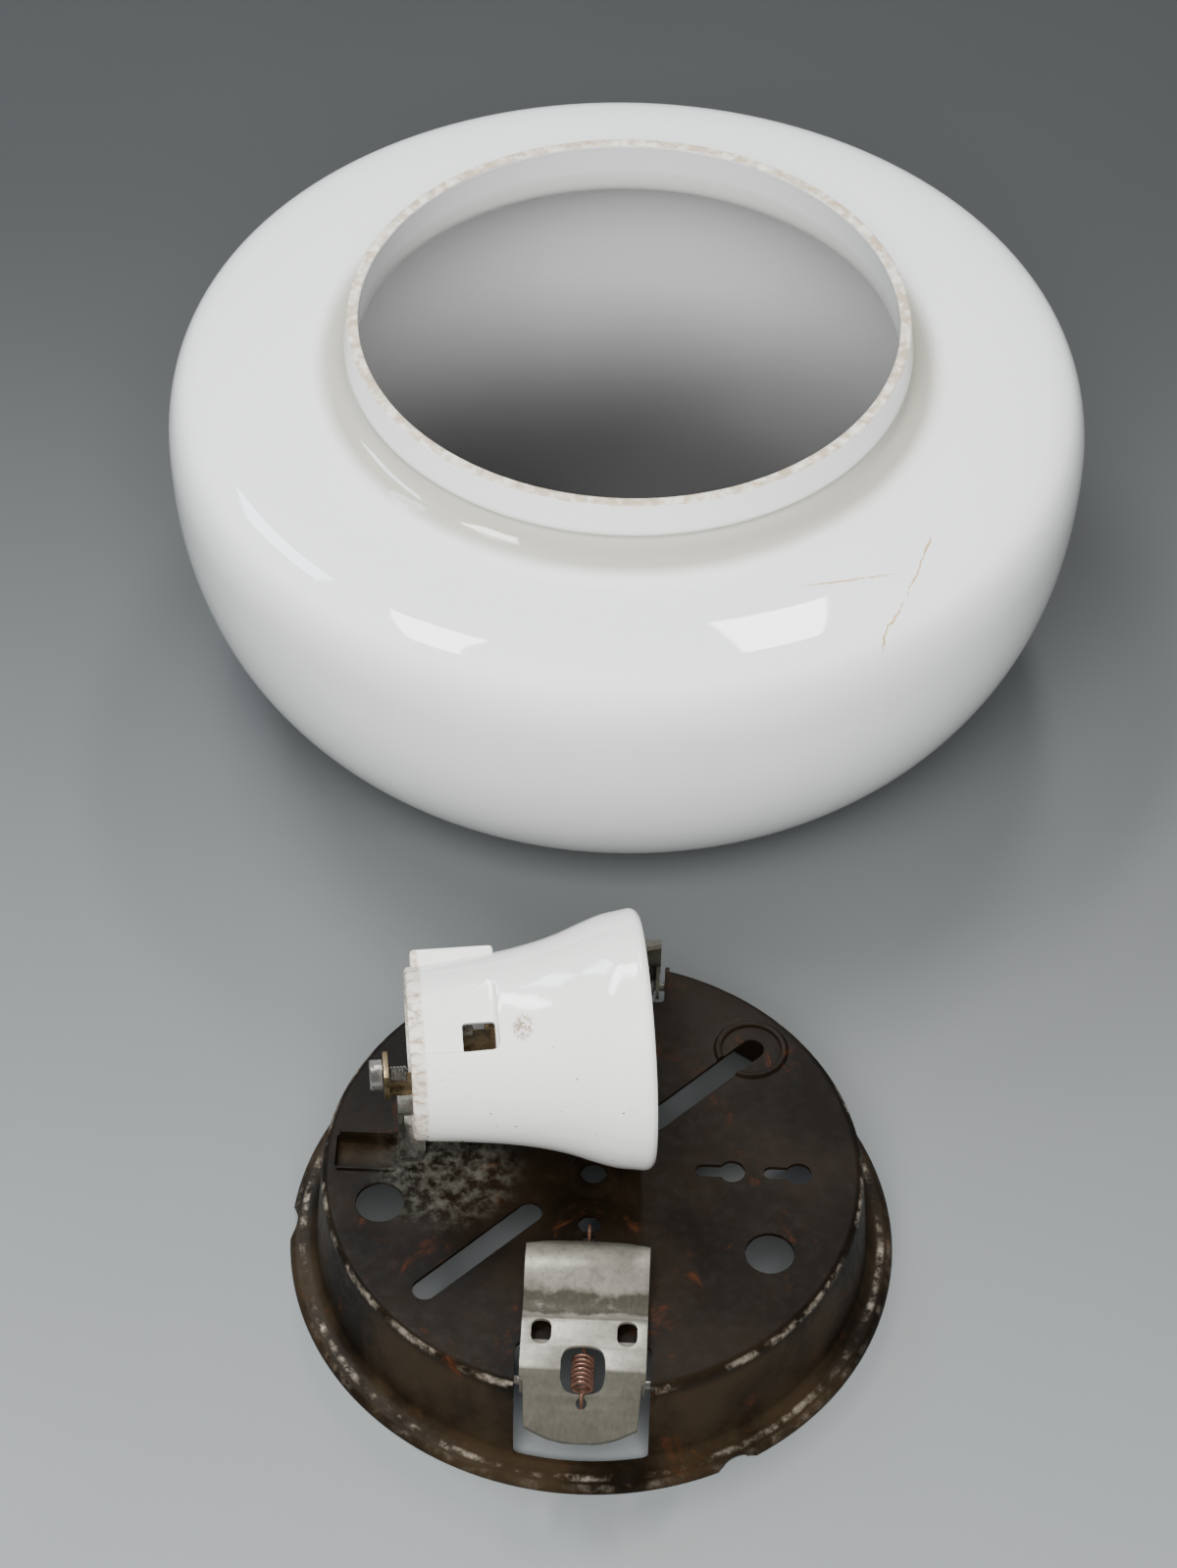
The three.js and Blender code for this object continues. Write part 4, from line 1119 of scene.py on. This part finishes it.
def bracket_piece():
    foot_z, arm_z = DISC_Z + 0.3, AXIS_Z - 16.1
    outline = [(-3.2, -6.4), *arc((0.6, -3.8), 2.6, -90, 0, 8), (3.2, -0.4), (16, -0.4), (16, 7), (-3.2, 7)]
    foot = raised("lampholder_foot", outline, foot_z, foot_z + 1.5)
    join(foot, block("web", (-3.2, -1.8), (-6, 6), (foot_z, arm_z + 1.4)))
    join(foot, block("arm", (-3.2, 20.5), (-6, 6), (arm_z, arm_z + 1.4)))
    join(foot, block("tab", (19.1, 20.5), (-4, 4), (arm_z, AXIS_Z - 8.4)))
    for centre in RIVET_PLACES:
        drill(foot, "z", (foot_z - 1, foot_z + 3), 1.4, centre)
    drill(foot, "x", (17.5, 21.5), 1.8, BRACKET_SCREW)
    return bevelled(foot, 0.3, 3, 40)


def foot_rivet(name, centre):
    section = [
        (0, 26.8), (1.8, 26.8), (2.4, 27.2), (2.4, 27.7), (1.1, 27.7), (1.1, 31.1), (2.4, 31.1),
        *arc((1.4, 31.1), 1.0, 0, 90, 5), (0, 32.15),
    ]
    rivet = turned(name, section, 32)
    rivet.location = Vector((*centre, 0)) * MM
    return apply_place(rivet)


class LIGHT_OT_lampholder(bpy.types.Operator):
    """Model the porcelain lampholder with its shell, contacts, screws and bracket"""

    bl_idname = "ceiling_light.lampholder"
    bl_label = "Lampholder"

    def execute(self, context):
        settings = context.scene.holder_settings
        glaze = glazed_porcelain(settings.colour)
        biscuit = plain_porcelain(settings.colour)
        brass = bare_metal("tarnished_brass", (0.30, 0.22, 0.12), (0.09, 0.07, 0.045), 5)
        steel = bare_metal("screw_steel", (0.36, 0.34, 0.31), (0.10, 0.08, 0.06), 2.5)
        zinc = bare_metal("bracket_zinc", (0.26, 0.25, 0.22), (0.10, 0.08, 0.06), 6)
        v, live_z = LIVE_RIVET[0], 60.1
        shell_at = (SHELL_RIVET[0], SHELL_RIVET[1] - 2.4)
        pieces = [
            (barrel_piece(settings.steps, settings.length / MM), "lampholder_body", "porcelain", glaze),
            (block_piece(), "contact_block", "porcelain", biscuit),
            (shell_piece(), "screw_shell", "brass", brass),
            (contact_piece(), "centre_contact", "brass", brass),
            (live_strap(), "live_terminal", "brass", brass),
            (shell_strap(), "shell_terminal", "brass", brass),
            (screw_piece("live_screw", (v, live_z), -9.6, -0.6, 1.9, 3.75, 3),
             "live_terminal_screw", "bright_steel", steel),
            (screw_piece("shell_screw", shell_at, 6.4, 15.5, 1.5, 2.9, 2.4),
             "shell_terminal_screw", "bright_steel", steel),
            (rivet_piece("live_contact_rivet", LIVE_RIVET, (18.1, 29.3)), "live_rivet", "brass", brass),
            (rivet_piece("shell_contact_rivet", SHELL_RIVET, (18.1, 29.7), 1.9),
             "shell_rivet", "brass", brass),
            (screw_piece("arm_screw", BRACKET_SCREW, 16.6, 27.4, 1.4, 2.8, 2),
             "bracket_screw", "bright_steel", steel),
            (bracket_piece(), "lampholder_bracket", "zinc_steel", zinc),
        ]
        for i, angle in enumerate(BODY_SCREW_ANGLES, 1):
            centre = round_axis(BODY_SCREW_R, angle)
            screw = screw_piece(f"barrel_screw_{i}", centre, 18.9, 32, 0.8, 1.5, 1.5)
            pieces.append((screw, f"body_screw_{i}", "bright_steel", steel))
        for i, centre in enumerate(RIVET_PLACES, 1):
            rivet = foot_rivet(f"foot_rivet_{i}", centre)
            pieces.append((rivet, f"bracket_rivet_{i}", "bright_steel", steel))
        for piece, node, slot_name, material in pieces:
            place_in_holder(piece)
            body = node if node in MOVING_PIECES else "ceiling_plate"
            hand_over(piece, node, body, material, 40)
        return {"FINISHED"}


# ---- Stage ----

CAMERA_PLACE = Vector((13.1, -688.8, 766.7)) * MM
CAMERA_TURN = tuple(math.radians(a) for a in (42.83, -0.66, 2.33))


def area_light(name, place_mm, aim_mm, size_mm, power, turn=0, colour=(1, 1, 1)):
    """A rectangular light, turned in degrees about the line to its aim."""
    data = bpy.data.lights.new(name, "AREA")
    data.shape = "RECTANGLE"
    data.size, data.size_y = (s * MM for s in size_mm)
    data.energy = power
    data.color = colour
    light = bpy.data.objects.new(name, data)
    bpy.context.collection.objects.link(light)
    light.location = Vector(place_mm) * MM
    aim = Vector(aim_mm) - Vector(place_mm)
    spun = Quaternion((0, 0, 1), math.radians(turn))
    light.rotation_euler = (aim.to_track_quat("-Z", "Y") @ spun).to_euler()
    return light


class LIGHT_OT_stage(bpy.types.Operator):
    """Set up the floor, the camera and soft studio lights"""

    bl_idname = "ceiling_light.stage"
    bl_label = "Stage"

    def execute(self, context):
        settings = context.scene.stage_settings
        deselect_all()
        bpy.ops.mesh.primitive_plane_add(size=8, location=(0, 0, -0.0002))
        floor = apply_place(bpy.context.object)
        floor.name = "floor"
        floor.data.materials.append(floor_finish(settings.floor))
        area_light("window_left", (-386, 205, 1200), (-386, 205, 0), (170, 640), 9, -20.6)
        area_light("window_right", (188, 640, 1200), (188, 640, 0), (130, 420), 4.6, 14.5)
        area_light("window_blue", (-656, 586, 1124), (-90, 20, 100), (300, 300), 5, 0, (0.7, 0.84, 1))
        overhead = area_light("overhead", (-80, -1150, 1450), (0, -60, 60), (1300, 900), 80)
        overhead.visible_glossy = False
        world = bpy.data.worlds.new("studio")
        world.use_nodes = True
        background = world.node_tree.nodes["Background"]
        background.inputs["Color"].default_value = (0.86, 0.93, 1.0, 1)
        background.inputs["Strength"].default_value = 0.22
        context.scene.world = world
        data = bpy.data.cameras.new("camera")
        data.lens = settings.lens
        data.clip_end = 50
        camera = bpy.data.objects.new("camera", data)
        context.collection.objects.link(camera)
        camera.location = CAMERA_PLACE
        camera.rotation_euler = CAMERA_TURN
        context.scene.camera = camera
        return {"FINISHED"}


class LIGHT_PT_panel(bpy.types.Panel):
    """The ceiling light's pieces in the sidebar"""

    bl_idname = "LIGHT_PT_panel"
    bl_label = "Ceiling light"
    bl_space_type = "VIEW_3D"
    bl_region_type = "UI"
    bl_category = "Ceiling light"

    def draw(self, context):
        for operator, settings in (
            (LIGHT_OT_stage, context.scene.stage_settings),
            (LIGHT_OT_glass_shade, context.scene.shade_settings),
            (LIGHT_OT_ceiling_plate, context.scene.plate_settings),
            (LIGHT_OT_clips, context.scene.clip_settings),
            (LIGHT_OT_lampholder, context.scene.holder_settings),
        ):
            column = self.layout.column(align=True)
            for name in settings.__annotations__:
                column.prop(settings, name)
            column.operator(operator.bl_idname)


SETTINGS = {
    "shade_settings": ShadeSettings,
    "plate_settings": PlateSettings,
    "clip_settings": ClipSettings,
    "holder_settings": HolderSettings,
    "stage_settings": StageSettings,
}
OPERATORS = (
    LIGHT_OT_stage, LIGHT_OT_glass_shade, LIGHT_OT_ceiling_plate, LIGHT_OT_clips, LIGHT_OT_lampholder,
)


def register():
    for cls in (*SETTINGS.values(), *OPERATORS, LIGHT_PT_panel):
        bpy.utils.register_class(cls)
    for name, cls in SETTINGS.items():
        setattr(bpy.types.Scene, name, PointerProperty(type=cls))


def unregister():
    for name in SETTINGS:
        delattr(bpy.types.Scene, name)
    for cls in reversed((*SETTINGS.values(), *OPERATORS, LIGHT_PT_panel)):
        bpy.utils.unregister_class(cls)


def main():
    register()
    bpy.ops.ceiling_light.stage()
    bpy.ops.ceiling_light.glass_shade()
    bpy.ops.ceiling_light.ceiling_plate()
    bpy.ops.ceiling_light.clips()
    bpy.ops.ceiling_light.lampholder()
    bpy.context.view_layer.update()


if __name__ == "__main__":
    main()
